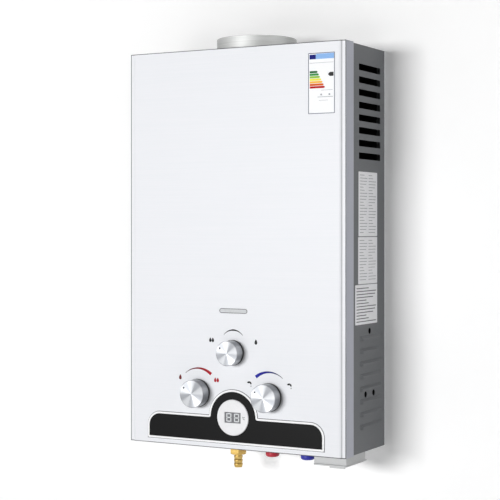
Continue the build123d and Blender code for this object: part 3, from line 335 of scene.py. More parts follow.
@dataclass(frozen=True)
class EdgedFinish(Finish):
    """Enamelled sheet with painted shade on the front's outline, the right step's foot and the folded
    sides.

    Attributes:
        low: Lowest corner of the sheet, in metres.
        high: Highest corner of the sheet, in metres.
        edge: How wide the painted shade is along the outline.
        depth: How far behind the front it reaches.
        step: How far inside the right edge the step's foot lies.
        foot: How wide the painted shade is along the step's foot.
        step_shade_share: How dark the painted shade is there.
        outline_shade: Colour of the painted shade along the outline and the step's foot, sRGB hex.
        side_shade_tint: Painted shade of the folded sides, a darker, bluer tint, sRGB hex.
    """

    low: Triple = (0.0, 0.0, 0.0)
    high: Triple = (1.0, 1.0, 1.0)
    edge: float = 1.3
    depth: float = 2.5
    step: float = 7.2
    foot: float = 1.7
    step_shade_share: float = 0.42
    outline_shade: str = "4C4E52"
    side_shade_tint: str = "CECFD7"

    def pattern(self, tree: Tree) -> Links:
        """Paints shade grey on the outline and the step's foot, and darker on the folded sides.

        Args:
            tree: The material's node tree.

        Returns:
            What feeds the shader's inputs.
        """
        links = super().pattern(tree)
        skin = links["Base Color"]
        place = add_node(tree, "TexCoord")
        axes = add_node(tree, "SeparateXYZ", links={"Vector": place.outputs["Object"]}).outputs
        within = {}
        for count, (axis, letter) in enumerate(((0, "X"), (2, "Z"))):
            middle = (self.low[axis] + self.high[axis]) / 2
            half = (self.high[axis] - self.low[axis]) / 2
            within[count] = add_node(tree, "Math", {1: middle, 2: half - self.edge * MM},
                                     {0: axes[letter]}, operation="COMPARE")
        whole = add_node(tree, "Math", links=within, operation="MULTIPLY")
        # Painted shade: grey along the outline, at the right step's foot, and a darker tint on the
        # sides behind the front.
        outline_band = add_node(tree, "Math", {0: 1.0}, {1: whole}, operation="SUBTRACT")
        line = {1: self.high[0] - self.step * MM, 2: self.foot / 2 * MM}
        foot = add_node(tree, "Math", line, {0: axes["X"]}, operation="COMPARE")
        step_shade_band = add_node(tree, "Math", {1: self.step_shade_share}, {0: foot}, operation="MULTIPLY")
        grey = add_node(tree, "Math", links={0: outline_band, 1: step_shade_band}, operation="MAXIMUM")
        back = {1: self.low[1] + self.depth * MM}
        behind = add_node(tree, "Math", back, {0: axes["Y"]}, operation="GREATER_THAN")
        outline_shaded = add_node(tree, "MixRGB", {"Color2": linear(self.outline_shade)}, {"Fac": grey, "Color1": skin})
        folded = add_node(tree, "MixRGB", {"Fac": 1.0, "Color2": linear(self.side_shade_tint)}, {"Color1": skin},
                          blend_type="MULTIPLY")
        blend = add_node(tree, "MixRGB", links={"Fac": behind, "Color1": outline_shaded, "Color2": folded})
        return links | {"Base Color": blend}


@dataclass(frozen=True)
class PrintInk(Finish):
    """Printing ink in one colour: dense, slightly satin, and laid down as a very fine film."""

    roughness: float = 0.5
    spread: float = 0.04
    grain: float = 1.5
    relief: float = 0.002
    specular: float = 0.2


@dataclass(frozen=True)
class RunningInk(Finish):
    """Smooth screen-printed ink that runs from one colour to another across X, with a faint mottle.

    Attributes:
        start: X where the run starts, in metres.
        end: X where it ends, in metres.
    """

    relief: float = 0.0
    tones: tuple[float, float] = (0.0, 1.0)
    start: float = 0.0
    end: float = 1.0

    def colour_value(self, tree: Tree, grain: Source) -> Source:
        """Adds the place along the run.

        Args:
            tree: The material's node tree.
            grain: The ink's mottle, which its gloss alone follows.

        Returns:
            0 at the start of the run and 1 at its end.
        """
        place = add_node(tree, "TexCoord")
        axes = add_node(tree, "SeparateXYZ", links={"Vector": place.outputs["Object"]}).outputs
        return add_node(tree, "MapRange", {"From Min": self.start, "From Max": self.end},
                        {"Value": axes["X"]})


# Sheet and plated metal
# Grey powder coat: low gloss, with a fine pebble that breaks the highlight.
GREY_COAT = Finish("grey_powder_coat", "717375", "6A6C6F", 0.5, 0.05, 0.0, 1.6, 0.02, specular=0.3)
# Galvanised sheet: dull crystals that flash one by one.
GALVANISED = SpangleFinish("galvanised_sheet", "BCC0C2", "B0B4B7", 0.5, 0.05, 0.8, 7.0, 0.004)
# The same sheet behind the burner, with painted shade inside, so the vents look into the dark.
INNER_SHADED_SHEET = InnerShadeFinish("galvanised_sheet_inner_shade", "BCC0C2", "B0B4B7", 0.5, 0.05, 0.8, 7.0, 0.004)
# Aluminised sheet of the draught hood, painted nearly black as shade, so the vents look into the dark.
HOOD_STEEL = Finish("hood_sheet_painted_dark", "28282A", "1D1D1F", 0.6, 0.07, 0.8, 12.0, 0.01)
# Brushed steel collar: fine scratches run round the wall, so its highlight is broad and dull.
DRAWN_STEEL = Finish("brushed_steel", "C1C2C1", "B1B2B1", 0.6, 0.05, 0.7, 1.0, 0.006,
                     stretch=(60.0, 60.0, 0.8))
# Zinc-plated steel: bright, faintly yellow, slightly uneven plating.
ZINC = Finish("zinc_plated_steel", "C4C3B8", "ABAA9E", 0.32, 0.06, 1.0, 1.5, 0.01)
# Stainless burner sheet, browned a little where the flames heat it.
BURNER_STEEL = Finish("heat_tinted_stainless", "A8A39A", "7E7468", 0.38, 0.08, 1.0, 1.0, 0.01,
                      stretch=(18.0, 18.0, 12.0))

# Cast, turned and drawn metal
# Tinned copper, dulled in patches by flue deposits and heat.
COPPER = Finish("heat_dulled_copper", "B9795A", "8B5640", 0.4, 0.1, 1.0, 14.0, 0.02)
# Die-cast aluminium: pale grey, with a sandy skin.
CAST_ALUMINIUM = Finish("die_cast_aluminium", "B7B9BB", "9DA0A2", 0.55, 0.06, 0.9, 1.0, 0.05)
# Turned brass: warm yellow with fine rings of the tool across the axis.
BRASS = Finish("turned_brass", "CDB26E", "AC8A48", 0.28, 0.07, 1.0, 1.0, 0.01, stretch=(8.0, 8.0, 0.5))

# Mouldings, rubber and ceramic
# Black ABS with a spark-eroded matt skin.
BLACK_ABS = Finish("matt_black_abs", "1B1B1D", "141416", 0.5, 0.06, 0.0, 0.8, 0.03)
# Black acrylic sheet: nearly flat, with an even gloss and a satin face that keeps reflections faint.
BLACK_ACRYLIC = Finish("satin_black_acrylic", "0B0B0C", "080809", 0.32, 0.03, 0.0, 30.0, 0.004,
                       specular=0.1)
# White ABS, polished tool: a clean highlight with the faintest waviness.
WHITE_ABS = Finish("gloss_white_abs", "F9F9FA", "F4F4F5", 0.25, 0.04, 0.0, 12.0, 0.01, 0.2)
# Pale ABS display disc: satin, a shade greyer than the surround.
PALE_ABS = Finish("satin_pale_abs", "EBEBED", "E6E6E8", 0.36, 0.04, 0.0, 8.0, 0.01)
# Light grey ABS with a fine matt texture.
GREY_ABS = Finish("matt_grey_abs", "C4C5C5", "BDBEBE", 0.5, 0.05, 0.0, 0.9, 0.03)
# Soft polyethylene caps: waxy gloss, colour all through.
RED_CAP = Finish("red_polyethylene", "B81430", "A31028", 0.38, 0.05, 0.0, 3.0, 0.02)
BLUE_CAP = Finish("blue_polyethylene", "141CA0", "10168A", 0.38, 0.05, 0.0, 3.0, 0.02)
# Black nitrile rubber: dull, with a dusty bloom.
RUBBER = Finish("nitrile_rubber", "242425", "1A1A1B", 0.75, 0.06, 0.0, 2.0, 0.03)
# Silicone sleeve of the spark lead: dark red, slightly tacky sheen.
SILICONE = Finish("red_silicone_sleeve", "8E1F1C", "741613", 0.55, 0.05, 0.0, 2.0, 0.02)
# Glazed alumina: cream white with a glassy skin.
CERAMIC = Finish("glazed_alumina", "EDE8DD", "E2DCCE", 0.2, 0.05, 0.0, 4.0, 0.01, 0.3)
# Glass-fibre board under green resist.
BOARD = Finish("green_solder_resist", "1F5B34", "184A2A", 0.42, 0.06, 0.0, 1.2, 0.01)
# Shrink sleeve on the cells: smooth dark film.
CELL_FILM = Finish("dark_shrink_film", "2C2F36", "24262C", 0.3, 0.05, 0.0, 10.0, 0.01, 0.2)

# Display, window and print
# Display glass with a smoked back: mid grey, even, with a soft gloss.
DISPLAY_GLASS = Finish("smoked_display_glass", "77787C", "707175", 0.22, 0.03, 0.0, 6.0, 0.002,
                       specular=0.3)
# Frosted window pane: milky grey that hides the flame's glare.
FROSTED_PANE = Finish("frosted_window_pane", "C9CBCD", "C0C2C5", 0.35, 0.05, 0.0, 2.0, 0.01)
# Inks of the dials and the fascia; the pale one is the display's lit segments.
BLACK_INK = PrintInk("black_ink", "0E0E10", "151517")
RED_INK = PrintInk("red_ink", "AE1428", "A01022")
DARK_RED_INK = PrintInk("dark_red_ink", "6A161C", "5C1217")
# Dark grey ink of prints, also laid as a painted shade line round the fascia's surround.
DARK_GREY_INK = PrintInk("dark_grey_ink", "3E3E43", "48484D", specular=0.5)
SEGMENT_INK = PrintInk("display_segment", "DADCDE", "D2D4D6", 0.4, 0.03, specular=0.5)
# Inks of the label and the plates.
FAINT_INK = PrintInk("faint_grey_ink", "8B8E93", "96999E", 0.55, specular=0.5)
SLATE_INK = PrintInk("slate_ink", "3A445E", "434D66", specular=0.1)
SKY_INK = PrintInk("sky_blue_ink", "8DB8F0", "96C0F0", specular=0.1)
NAVY_INK = PrintInk("navy_ink", "0E1570", "131A78", specular=0.1)
# Coated label paper: bright, with a fine tooth.
LABEL_PAPER = Finish("coated_label_paper", "F6F7F9", "F0F1F4", 0.45, 0.04, 0.0, 1.0, 0.004)
# Silvered plate film: nearly white, drawn along its length, with a soft sheen.
PLATE_FILM = Finish("silvered_label_film", "FCFCFE", "F6F6F9", 0.3, 0.05, 0.0, 1.0, 0.003, 0.4,
                    stretch=(2.0, 2.0, 30.0))


def polar(radius: float, clock: float) -> Point:
    """Point at a radius and a clock angle in degrees, 0 upwards and positive clockwise."""
    return radius * math.sin(math.radians(clock)), radius * math.cos(math.radians(clock))


def arc(centre: Point, radius: float, start: float, end: float, steps: int = 16) -> Outline:
    """Points along an arc.

    Args:
        centre: Middle of the arc.
        radius: Its radius.
        start: First clock angle, in degrees.
        end: Last clock angle, in degrees.
        steps: How many pieces it is divided into.

    Returns:
        The points, first to last.
    """
    clocks = [start + (end - start) * step / steps for step in range(steps + 1)]
    return [(centre[0] + x, centre[1] + y) for x, y in (polar(radius, clock) for clock in clocks)]


def circle(centre: Point, radius: float, steps: int) -> Outline:
    """Closed outline of a circle, with a point more than steps."""
    return arc(centre, radius, 0, CIRCLE_END, steps)


def bar(left: float, right: float, low: float, high: float) -> Outline:
    """Rectangle between two corners."""
    return [(left, low), (right, low), (right, high), (left, high)]


def rounded_bar(left: float, right: float, low: float, high: float, radius: float) -> Outline:
    """Rectangle with round corners.

    Args:
        left: Its left edge.
        right: Its right edge.
        low: Its lower edge.
        high: Its upper edge.
        radius: Corner radius.

    Returns:
        The closed outline, clockwise from the lower left corner.
    """
    inner = bar(left + radius, right - radius, low + radius, high - radius)
    corners = [inner[0], inner[3], inner[2], inner[1]]
    points = []
    for turn, corner in enumerate(corners, start=2):
        points += arc(corner, radius, turn * QUARTER, (turn + 1) * QUARTER, steps=4)
    return points


def facing(side: Side, place: Vector) -> Matrix:
    """Matrix that stands a flat drawing on a face.

    Args:
        side: Which way the drawing faces.
        place: Where its zero point goes, in metres.

    Returns:
        The matrix, from the drawing's own plane to the row frame.
    """
    turn = Matrix.Rotation(math.radians(side.value), 4, "Z")
    return Matrix.Translation(place) @ turn @ Matrix.Rotation(math.radians(QUARTER), 4, "X")


def to_mesh(name: str, shape: bmesh.types.BMesh) -> bpy.types.Mesh:
    """Makes a mesh of a finished shape and frees the shape.

    Args:
        name: The mesh's name.
        shape: The shape, in place.

    Returns:
        The mesh.
    """
    mesh = bpy.data.meshes.new(name)
    shape.to_mesh(mesh)
    shape.free()
    return mesh


def add_piece(name: str, shape: bmesh.types.BMesh, finish: Finish, body: Body) -> None:
    """Adds a finished piece of a shape that is already in place.

    Args:
        name: The piece's name.
        shape: Its shape, in the row frame.
        finish: Its finish.
        body: The rigid body it rides on.
    """
    mesh = to_mesh(name, shape)
    mesh.materials.append(finish.material())
    piece = bpy.data.objects.new(name, mesh)
    bpy.context.scene.collection.objects.link(piece)
    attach(piece, body.value)
    LOG.info("%s: %d faces on %s", name, len(mesh.polygons), body.value)


def inlay(name: str, outlines: list[Outline], thickness: float, place: Matrix, finish: Finish,
          body: Body = Body.CASING) -> None:
    """Makes a flat printed or stuck-on piece from closed outlines.

    Args:
        name: The piece's name.
        outlines: Closed outlines; one inside another is a hole.
        thickness: How far it stands proud.
        place: Matrix from the drawing's plane to the row frame.
        finish: Its finish.
        body: The rigid body it rides on.
    """
    drawing = bpy.data.curves.new(name, "CURVE")
    drawing.dimensions, drawing.fill_mode, drawing.extrude = "2D", "BOTH", thickness / 2 * MM
    for outline in outlines:
        spline = drawing.splines.new("POLY")
        spline.points.add(len(outline) - 1)
        spline.use_cyclic_u = True
        for point, (x, y) in zip(spline.points, outline):
            point.co = (x * MM, y * MM, 0, 1)
    sketch = bpy.data.objects.new(name, drawing)
    bpy.context.scene.collection.objects.link(sketch)
    bpy.context.view_layer.update()
    flat = bpy.data.meshes.new_from_object(sketch.evaluated_get(bpy.context.evaluated_depsgraph_get()))
    bpy.data.objects.remove(sketch)
    bpy.data.curves.remove(drawing)
    shape = bmesh.new()
    shape.from_mesh(flat)
    bpy.data.meshes.remove(flat)
    seat = place @ Matrix.Translation((0, 0, thickness / 2 * MM))
    bmesh.ops.transform(shape, matrix=seat, verts=shape.verts)
    bmesh.ops.remove_doubles(shape, verts=shape.verts, dist=MERGE_DISTANCE)
    bmesh.ops.recalc_face_normals(shape, faces=shape.faces)
    add_piece(name, shape, finish, body)


def dress(finish: Finish, *nodes: str) -> None:
    """Gives CAD nodes a finish.

    Args:
        finish: The finish.
        nodes: The nodes' names.
    """
    for node in nodes:
        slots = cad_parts[node].data.materials
        slots.clear()
        slots.append(finish.material())
        LOG.info("%s: %s", node, finish.name)


@dataclass(frozen=True)
class Softbox:
    """One soft lamp.

    Attributes:
        name: What the lamp does.
        offset: Its place from the middle of the front cover, in metres.
        width: Its width, in metres.
        height: Its height, in metres.
        power: Its power, in watts.
    """

    name: str
    offset: Triple
    width: float
    height: float
    power: float

    def build(self, target: Vector) -> None:
        """Makes the lamp, turned to what it lights.

        Args:
            target: Middle of the front cover.
        """
        lamp = bpy.data.lights.new(self.name, "AREA")
        lamp.shape, lamp.energy = "RECTANGLE", self.power
        lamp.size, lamp.size_y = self.width, self.height
        softbox = bpy.data.objects.new(self.name, lamp)
        softbox.location = target + Vector(self.offset)
        softbox.rotation_euler = (-Vector(self.offset)).to_track_quat("-Z", "Y").to_euler()
        bpy.context.scene.collection.objects.link(softbox)


@dataclass
class Studio:
    """Camera at the photograph's angle, a pale wall and floor, and soft light from the front left.

    Attributes:
        camera_place: The camera's place from the middle of the casing's bottom edge at the wall.
        yaw: How far the camera looks to the left, in degrees.
        focal_pixels: Focal length, in pixels of the image.
        horizon: Image row of the horizon.
        axis_column: Image column that the camera looks along.
        sensor: Width of the camera's sensor.
        wall_gap: How far the wall lies behind the casing's back.
        stage_side: Side of the wall and of the floor.
        floor_drop: How far the floor lies below the casing.
        stage_colour: Paint of the wall and the floor, sRGB hex.
        world_level: How bright the room is for the object.
        backdrop_level: How bright the room is seen.
        shadow_lift: How much lighter than its paint the wall is seen.
        floor_lift: How much lighter than its paint the floor is seen.
        lamps: The soft lamps.
    """

    camera_place: Triple = (1117.0, -2109.0, 358.0)
    yaw: float = 29.0
    focal_pixels: float = 1393.0
    horizon: float = 228.0
    axis_column: float = 251.0
    sensor: float = 36.0
    wall_gap: float = 2.0
    stage_side: float = 9000.0
    floor_drop: float = 420.0
    stage_colour: str = "FDFDFD"
    world_level: float = 0.1
    backdrop_level: float = 1.0
    shadow_lift: float = 0.08
    floor_lift: float = 0.55
    lamps: tuple[Softbox, ...] = (
        Softbox("key_softbox", (-0.95, -4.2, 0.25), 1.8, 0.7, 128.0),
        Softbox("fill_softbox", (2.6, 0.0, 0.5), 1.4, 1.4, 19.0),
        Softbox("top_softbox", (0.2, 0.2, 2.2), 1.4, 1.4, 3.5),
        Softbox("rear_softbox", (-0.6, 2.6, 0.9), 1.8, 1.8, 45.0),
    )

    def build(self) -> None:
        """Makes the camera, the stage and the light."""
        low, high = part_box("front_cover")
        self.make_camera(Vector(((low.x + high.x) / 2, 0, low.z)))
        self.make_stage(low.z)
        self.make_light(Vector(((low.x + high.x) / 2, low.y, (low.z + high.z) / 2)))
        bpy.context.scene.view_settings.view_transform = "Standard"

    def make_camera(self, foot: Vector) -> None:
        """Makes the camera.

        Args:
            foot: Middle of the casing's bottom edge at the wall.
        """
        lens = bpy.data.cameras.new("photo_camera")
        lens.sensor_width = self.sensor
        lens.lens = self.focal_pixels * self.sensor / IMAGE_SIDE
        lens.shift_x = (IMAGE_SIDE / 2 - self.axis_column) / IMAGE_SIDE
        lens.shift_y = (self.horizon - IMAGE_SIDE / 2) / IMAGE_SIDE
        camera = bpy.data.objects.new("photo_camera", lens)
        camera.location = foot + Vector(self.camera_place) * MM
        camera.rotation_euler = (math.radians(QUARTER), 0, math.radians(self.yaw))
        bpy.context.scene.collection.objects.link(camera)
        bpy.context.scene.camera = camera

    def seen_directly(self, tree: Tree) -> Source:
        """Adds a switch that tells what is seen from light on the object.

        Args:
            tree: The node tree that gets it.

        Returns:
            1 for rays from the camera, a mirror or a glass, and 0 for light on the object.
        """
        rays = add_node(tree, "LightPath").outputs
        switch = rays["Is Camera Ray"]
        for kind in ("Is Glossy Ray", "Is Transmission Ray"):
            switch = add_node(tree, "Math", links={0: switch, 1: rays[kind]}, operation="ADD",
                              use_clamp=True)
        return switch

    def stage_material(self, name: str, lift: float, bounces: bool) -> bpy.types.Material:
        """Pale matt stage that keeps the object's shadow and isn't seen from behind.

        Args:
            name: The material's name.
            lift: How much lighter than its paint the camera and the gloss see it.
            bounces: True if it throws light back on the object, False if lamps behind it shine through.

        Returns:
            The material.
        """
        made = bpy.data.materials.new(name)
        tree = clear_tree(made)
        paint = add_node(tree, "BsdfDiffuse", {"Color": linear(self.stage_colour)})
        glow = add_node(tree, "Emission", {"Strength": lift})
        clear = add_node(tree, "BsdfTransparent")
        lit = add_node(tree, "AddShader", links={0: paint, 1: glow})
        seen = self.seen_directly(tree)
        front = add_node(tree, "MixShader", links={0: seen, 1: paint if bounces else clear, 2: lit})
        behind = add_node(tree, "NewGeometry").outputs["Backfacing"]
        both = add_node(tree, "MixShader", links={0: behind, 1: front, 2: clear})
        add_node(tree, "OutputMaterial", links={"Surface": both})
        return made

    def make_stage(self, bottom: float) -> None:
        """Makes the wall behind the heater and the floor below it.

        Args:
            bottom: Height of the casing's bottom edge, in metres.
        """
        wall = facing(Side.FRONT, Vector((0, self.wall_gap * MM, 0)))
        self.make_plane("stage_wall", wall, self.shadow_lift, False)
        floor = Matrix.Translation((0, 0, bottom - self.floor_drop * MM))
        self.make_plane("stage_floor", floor, self.floor_lift, True)

    def make_plane(self, name: str, place: Matrix, lift: float, bounces: bool) -> None:
        """Makes one plane of the stage.

        Args:
            name: The plane's name.
            place: Matrix from the level plane to the row frame.
            lift: How much lighter than its paint the camera sees it.
            bounces: True if it throws light back on the object.
        """
        shape = bmesh.new()
        bmesh.ops.create_grid(shape, x_segments=1, y_segments=1, size=self.stage_side / 2 * MM,
                              matrix=place)
        mesh = to_mesh(name, shape)
        mesh.materials.append(self.stage_material(name + "_paint", lift, bounces))
        piece = bpy.data.objects.new(name, mesh)
        bpy.context.scene.collection.objects.link(piece)

    def make_light(self, target: Vector) -> None:
        """Makes the soft lamps and an even pale world.

        Args:
            target: Middle of the front cover.
        """
        for lamp in self.lamps:
            lamp.build(target)
        world = bpy.data.worlds.new("pale_room")
        tree = clear_tree(world)
        room, backdrop = [add_node(tree, "Background", {"Color": linear("FFFFFF"), "Strength": level})
                          for level in (self.world_level, self.backdrop_level)]
        mix = add_node(tree, "MixShader", links={0: self.seen_directly(tree), 1: room, 2: backdrop})
        add_node(tree, "OutputWorld", links={"Surface": mix})
        bpy.context.scene.world = world


@dataclass
class Casing:
    """Cover, panels and flue collar, with the small screws that hold the rear panel.

    The shares are of the screw's radius, apart from drive_depth_share and level_share, which are of
    its height. gap_shade_end_share keeps the ends of the dark ring round the window just short of half
    circles.
    """

    screw_radius: float = 3.4
    screw_height: float = 1.9
    screw_sides: int = 20
    screw_top_share: float = 0.82
    drive_inset_share: float = 0.42
    drive_depth_share: float = 0.6
    rim_share: float = 0.7
    rim_bevel_share: float = 0.16
    level_share: float = 0.99
    rear_screw_inset: float = 7.0
    rear_screw_count: int = 4
    pane_width: float = 51.8
    pane_height: float = 7.4
    gap_shade_width: float = 0.8
    gap_shade_height: float = 0.3
    gap_shade_end_share: float = 0.999

    def dress(self) -> None:
        """Finishes the sheet-metal nodes."""
        low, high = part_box("front_cover")
        # Pale silver enamel, rolled on level: a soft sheen with faint streaks across the front.
        # The enamel's finish also paints shade along the front's outline, at the right step's foot and
        # on the folded sides.
        enamel = EdgedFinish("silver_enamel_levelled", "EBECF0", "E8EAEE", 0.4, 0.03, 0.0, 1.0, 0.002,
                             specular=0.3, stretch=(140.0, 20.0, 0.9), low=tuple(low), high=tuple(high))
        dress(enamel, "front_cover")
        dress(GREY_COAT, "side_panel_left", "side_panel_right", "top_panel")
        # Painted shade on the rear panel's inner side.
        dress(INNER_SHADED_SHEET, "rear_panel")
        dress(GALVANISED, "bottom_panel")
        dress(DRAWN_STEEL, "flue_collar")
        dress(ZINC, "cover_screws")
        dress(FROSTED_PANE, "sight_window")

    def build(self) -> None:
        """Adds the rear panel's screws and a dark ring of painted shade round the sight window."""
        self.make_gap_shade()
        low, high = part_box("rear_panel")
        inset = self.rear_screw_inset * MM
        rise = (high.z - low.z - 2 * inset) / (self.rear_screw_count - 1)
        for column, x in enumerate((low.x + inset, high.x - inset)):
            for row in range(self.rear_screw_count):
                place = Vector((x, high.y, low.z + inset + rise * row))
                self.make_screw(f"rear_screw_{column}_{row}", facing(Side.BACK, place))

    def make_gap_shade(self) -> None:
        """Makes a narrow dark ring of painted shade where the window meets its opening, with a rubber
        finish.
        """
        low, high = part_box("sight_window")
        place = facing(Side.FRONT, Vector(((low.x + high.x) / 2, low.y, (low.z + high.z) / 2)))
        rings = []
        for inset in (0.0, self.gap_shade_width):
            half, rise = self.pane_width / 2 - inset, self.pane_height / 2 - inset
            rings.append(rounded_bar(-half, half, -rise, rise, rise * self.gap_shade_end_share))
        # Painted shade: a dark ring round the window's edge.
        inlay("sight_window_gap_shade", rings, self.gap_shade_height, place, RUBBER)

    def make_screw(self, name: str, place: Matrix) -> None:
        """Makes one pan-head screw with a sunk drive.

        Args:
            name: The piece's name.
            place: Matrix from the head's seat to the row frame.
        """
        shape = bmesh.new()
        radius, height = self.screw_radius * MM, self.screw_height * MM
        bmesh.ops.create_cone(shape, cap_ends=True, segments=self.screw_sides, radius1=radius,
                              radius2=radius * self.screw_top_share, depth=height,
                              matrix=Matrix.Translation((0, 0, height / 2)))
        top = max(shape.faces, key=lambda face: face.calc_center_median().z)
        bmesh.ops.inset_region(shape, faces=[top], thickness=radius * self.drive_inset_share)
        drive = bmesh.ops.extrude_discrete_faces(shape, faces=[top])["faces"]
        bmesh.ops.translate(shape, vec=(0, 0, -height * self.drive_depth_share), verts=drive[0].verts)
        outer = {vert for vert in shape.verts if vert.co.z > height * self.level_share
                 and vert.co.to_2d().length > radius * self.rim_share}
        rim = [edge for edge in shape.edges if outer.issuperset(edge.verts)]
        bmesh.ops.bevel(shape, geom=rim, offset=radius * self.rim_bevel_share, offset_type="OFFSET",
                        affect="EDGES", segments=2, profile=0.5, material=-1)
        bmesh.ops.recalc_face_normals(shape, faces=shape.faces)
        bmesh.ops.transform(shape, matrix=place, verts=shape.verts)
        add_piece(name, shape, ZINC, Body.CASING)


class Mark(Enum):
    """Small printed signs beside a dial."""

    FLAME = "flame"
    FLAMES = "flames"
    TAP = "tap"


@dataclass
class Dial:
    """One control knob with its printed arc and signs.

    Shares are of a full flame's size, apart from flame_share, a flame's half width to its half height.

    Attributes:
        name: First word of the knob's nodes.
        radius: Arc radius.
        rise: How far the arc's middle lies above the knob's axis.
        reach: Half the arc's angle, in degrees.
        widths: Arc width at its left end, middle and right end.
        colours: Colours of the arc at its left and right end, sRGB hex.
        signs: Each sign's kind, offset from the knob's axis and ink.
        body: The knob's rigid body.
        face: Radius of the knob's front face.
        pointer_depth: How far the dark disc in the pointer's dimple lies behind the knob's front.
        pointer_inset: How far its middle lies inside the edge of the front face.
        flame_power: How fast a flame narrows to its tip.
        twin_shift: How far each of two flames stands from their middle.
        spout: Outer bend of the tap's spout.
        bore: Inner bend of the tap's spout.
        drop: Middle of the tap's drop.
    """

    name: str
    radius: float
    rise: float
    reach: float
    widths: Triple
    colours: tuple[str, str]
    signs: list[tuple[Mark, Point, Finish]]
    body: Body
    face: float
    arc_steps: int = 28
    print_height: float = 0.12
    pointer_radius: float = 1.7
    pointer_steps: int = 23
    pointer_depth: float = 0.5
    pointer_inset: float = 5.2
    pointer_clock: float = -57.0
    flame_height: float = 8.4
    flame_steps: int = 24
    flame_share: float = 0.74
    flame_power: float = 0.8
    twin_share: float = 0.9
    twin_shift: float = 2.4
    spout: ArcShape = ((-0.4, -1.4), 4.6, -62.0, 90.0, 10)
    bore: ArcShape = ((-0.2, -1.6), 1.9, 90.0, -45.0, 8)
    drop: Point = (3.0, -4.4)
    drop_share: float = 0.28

    def dress(self) -> None:
        """Finishes the knob's nodes."""
        low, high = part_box(f"{self.name}_knob_cap")
        # Spun aluminium: fine rings, and a painted highlight as a fan of bright and grey wedges.
        spun = SpunFinish(f"spun_aluminium_{self.name}", "B4B6B9", "919397", 0.46, 0.05, 1.0,
                          relief=0.012, anisotropy=0.75, centre=tuple((low + high) / 2))
        dress(spun, f"{self.name}_knob_cap")
        dress(BLACK_ABS, f"{self.name}_knob_core")
        dress(ZINC, f"{self.name}_spindle")

    def build(self) -> None:
        """Prints the arc and the signs on the cover, and lays a dark disc in the knob's pointer dimple.
        """
        low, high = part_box(f"{self.name}_knob_cap")
        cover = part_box("front_cover")[0].y
        axis = Vector(((low.x + high.x) / 2, cover, (low.z + high.z) / 2))
        run = self.radius * math.sin(math.radians(self.reach)) * MM
        ink = RunningInk(f"{self.name}_arc_ink", self.colours[1], self.colours[0], 0.5, 0.04,
                         specular=0.2, start=axis.x - run, end=axis.x + run)
        middle = facing(Side.FRONT, axis + Vector((0, 0, self.rise)) * MM)
        inlay(f"{self.name}_dial_arc", [self.arc_outline()], self.print_height, middle, ink)
        for count, (mark, (x, z), finish) in enumerate(self.signs):
            place = facing(Side.FRONT, axis + Vector((x, 0, z)) * MM)
            inlay(f"{self.name}_sign_{count}", self.sign_outlines(mark), self.print_height, place,
                  finish)
        across, up = polar(self.face - self.pointer_inset, self.pointer_clock)
        dimple = Vector((axis.x + across * MM, low.y + self.pointer_depth * MM, axis.z + up * MM))
        spot = circle((0, 0), self.pointer_radius, self.pointer_steps)
        inlay(f"{self.name}_pointer_dark_disc", [spot], self.print_height, facing(Side.FRONT, dimple),
              DARK_GREY_INK, self.body)

    def arc_outline(self) -> Outline:
        """Outline of the arc, whose width follows its three widths.

        Returns:
            The closed outline.
        """
        left, middle, right = self.widths
        outer, inner = [], []
        for step in range(self.arc_steps + 1):
            share = 2 * step / self.arc_steps - 1
            growth = right - middle if share > 0 else middle - left
            width = middle + growth * share
            outer.append(polar(self.radius + width / 2, self.reach * share))
            inner.append(polar(self.radius - width / 2, self.reach * share))
        return outer + inner[::-1]

    def sign_outlines(self, mark: Mark) -> list[Outline]:
        """Outlines of one sign, centred on zero.

        Args:
            mark: Which sign.

        Returns:
            Its closed outlines.
        """
        if mark is Mark.TAP:
            return [arc(*self.spout) + arc(*self.bore), self.flame(self.drop_share, self.drop)]
        if mark is Mark.FLAMES:
            shifts = (-self.twin_shift, self.twin_shift)
            return [self.flame(self.twin_share, (shift, 0.0)) for shift in shifts]
        return [self.flame(1.0, (0.0, 0.0))]

    def flame(self, share: float, middle: Point) -> Outline:
        """Pointed flame, standing upright.

        Args:
            share: Its size, as a share of a full flame.
            middle: Its middle.

        Returns:
            The closed outline.
        """
        half = self.flame_height / 2 * share
        points = []
        for step in range(self.flame_steps):
            turn = 2 * math.pi * step / self.flame_steps
            width = half * self.flame_share * math.sin(turn / 2) ** self.flame_power
            points.append((middle[0] + width * math.sin(turn), middle[1] + half * math.cos(turn)))
        return points


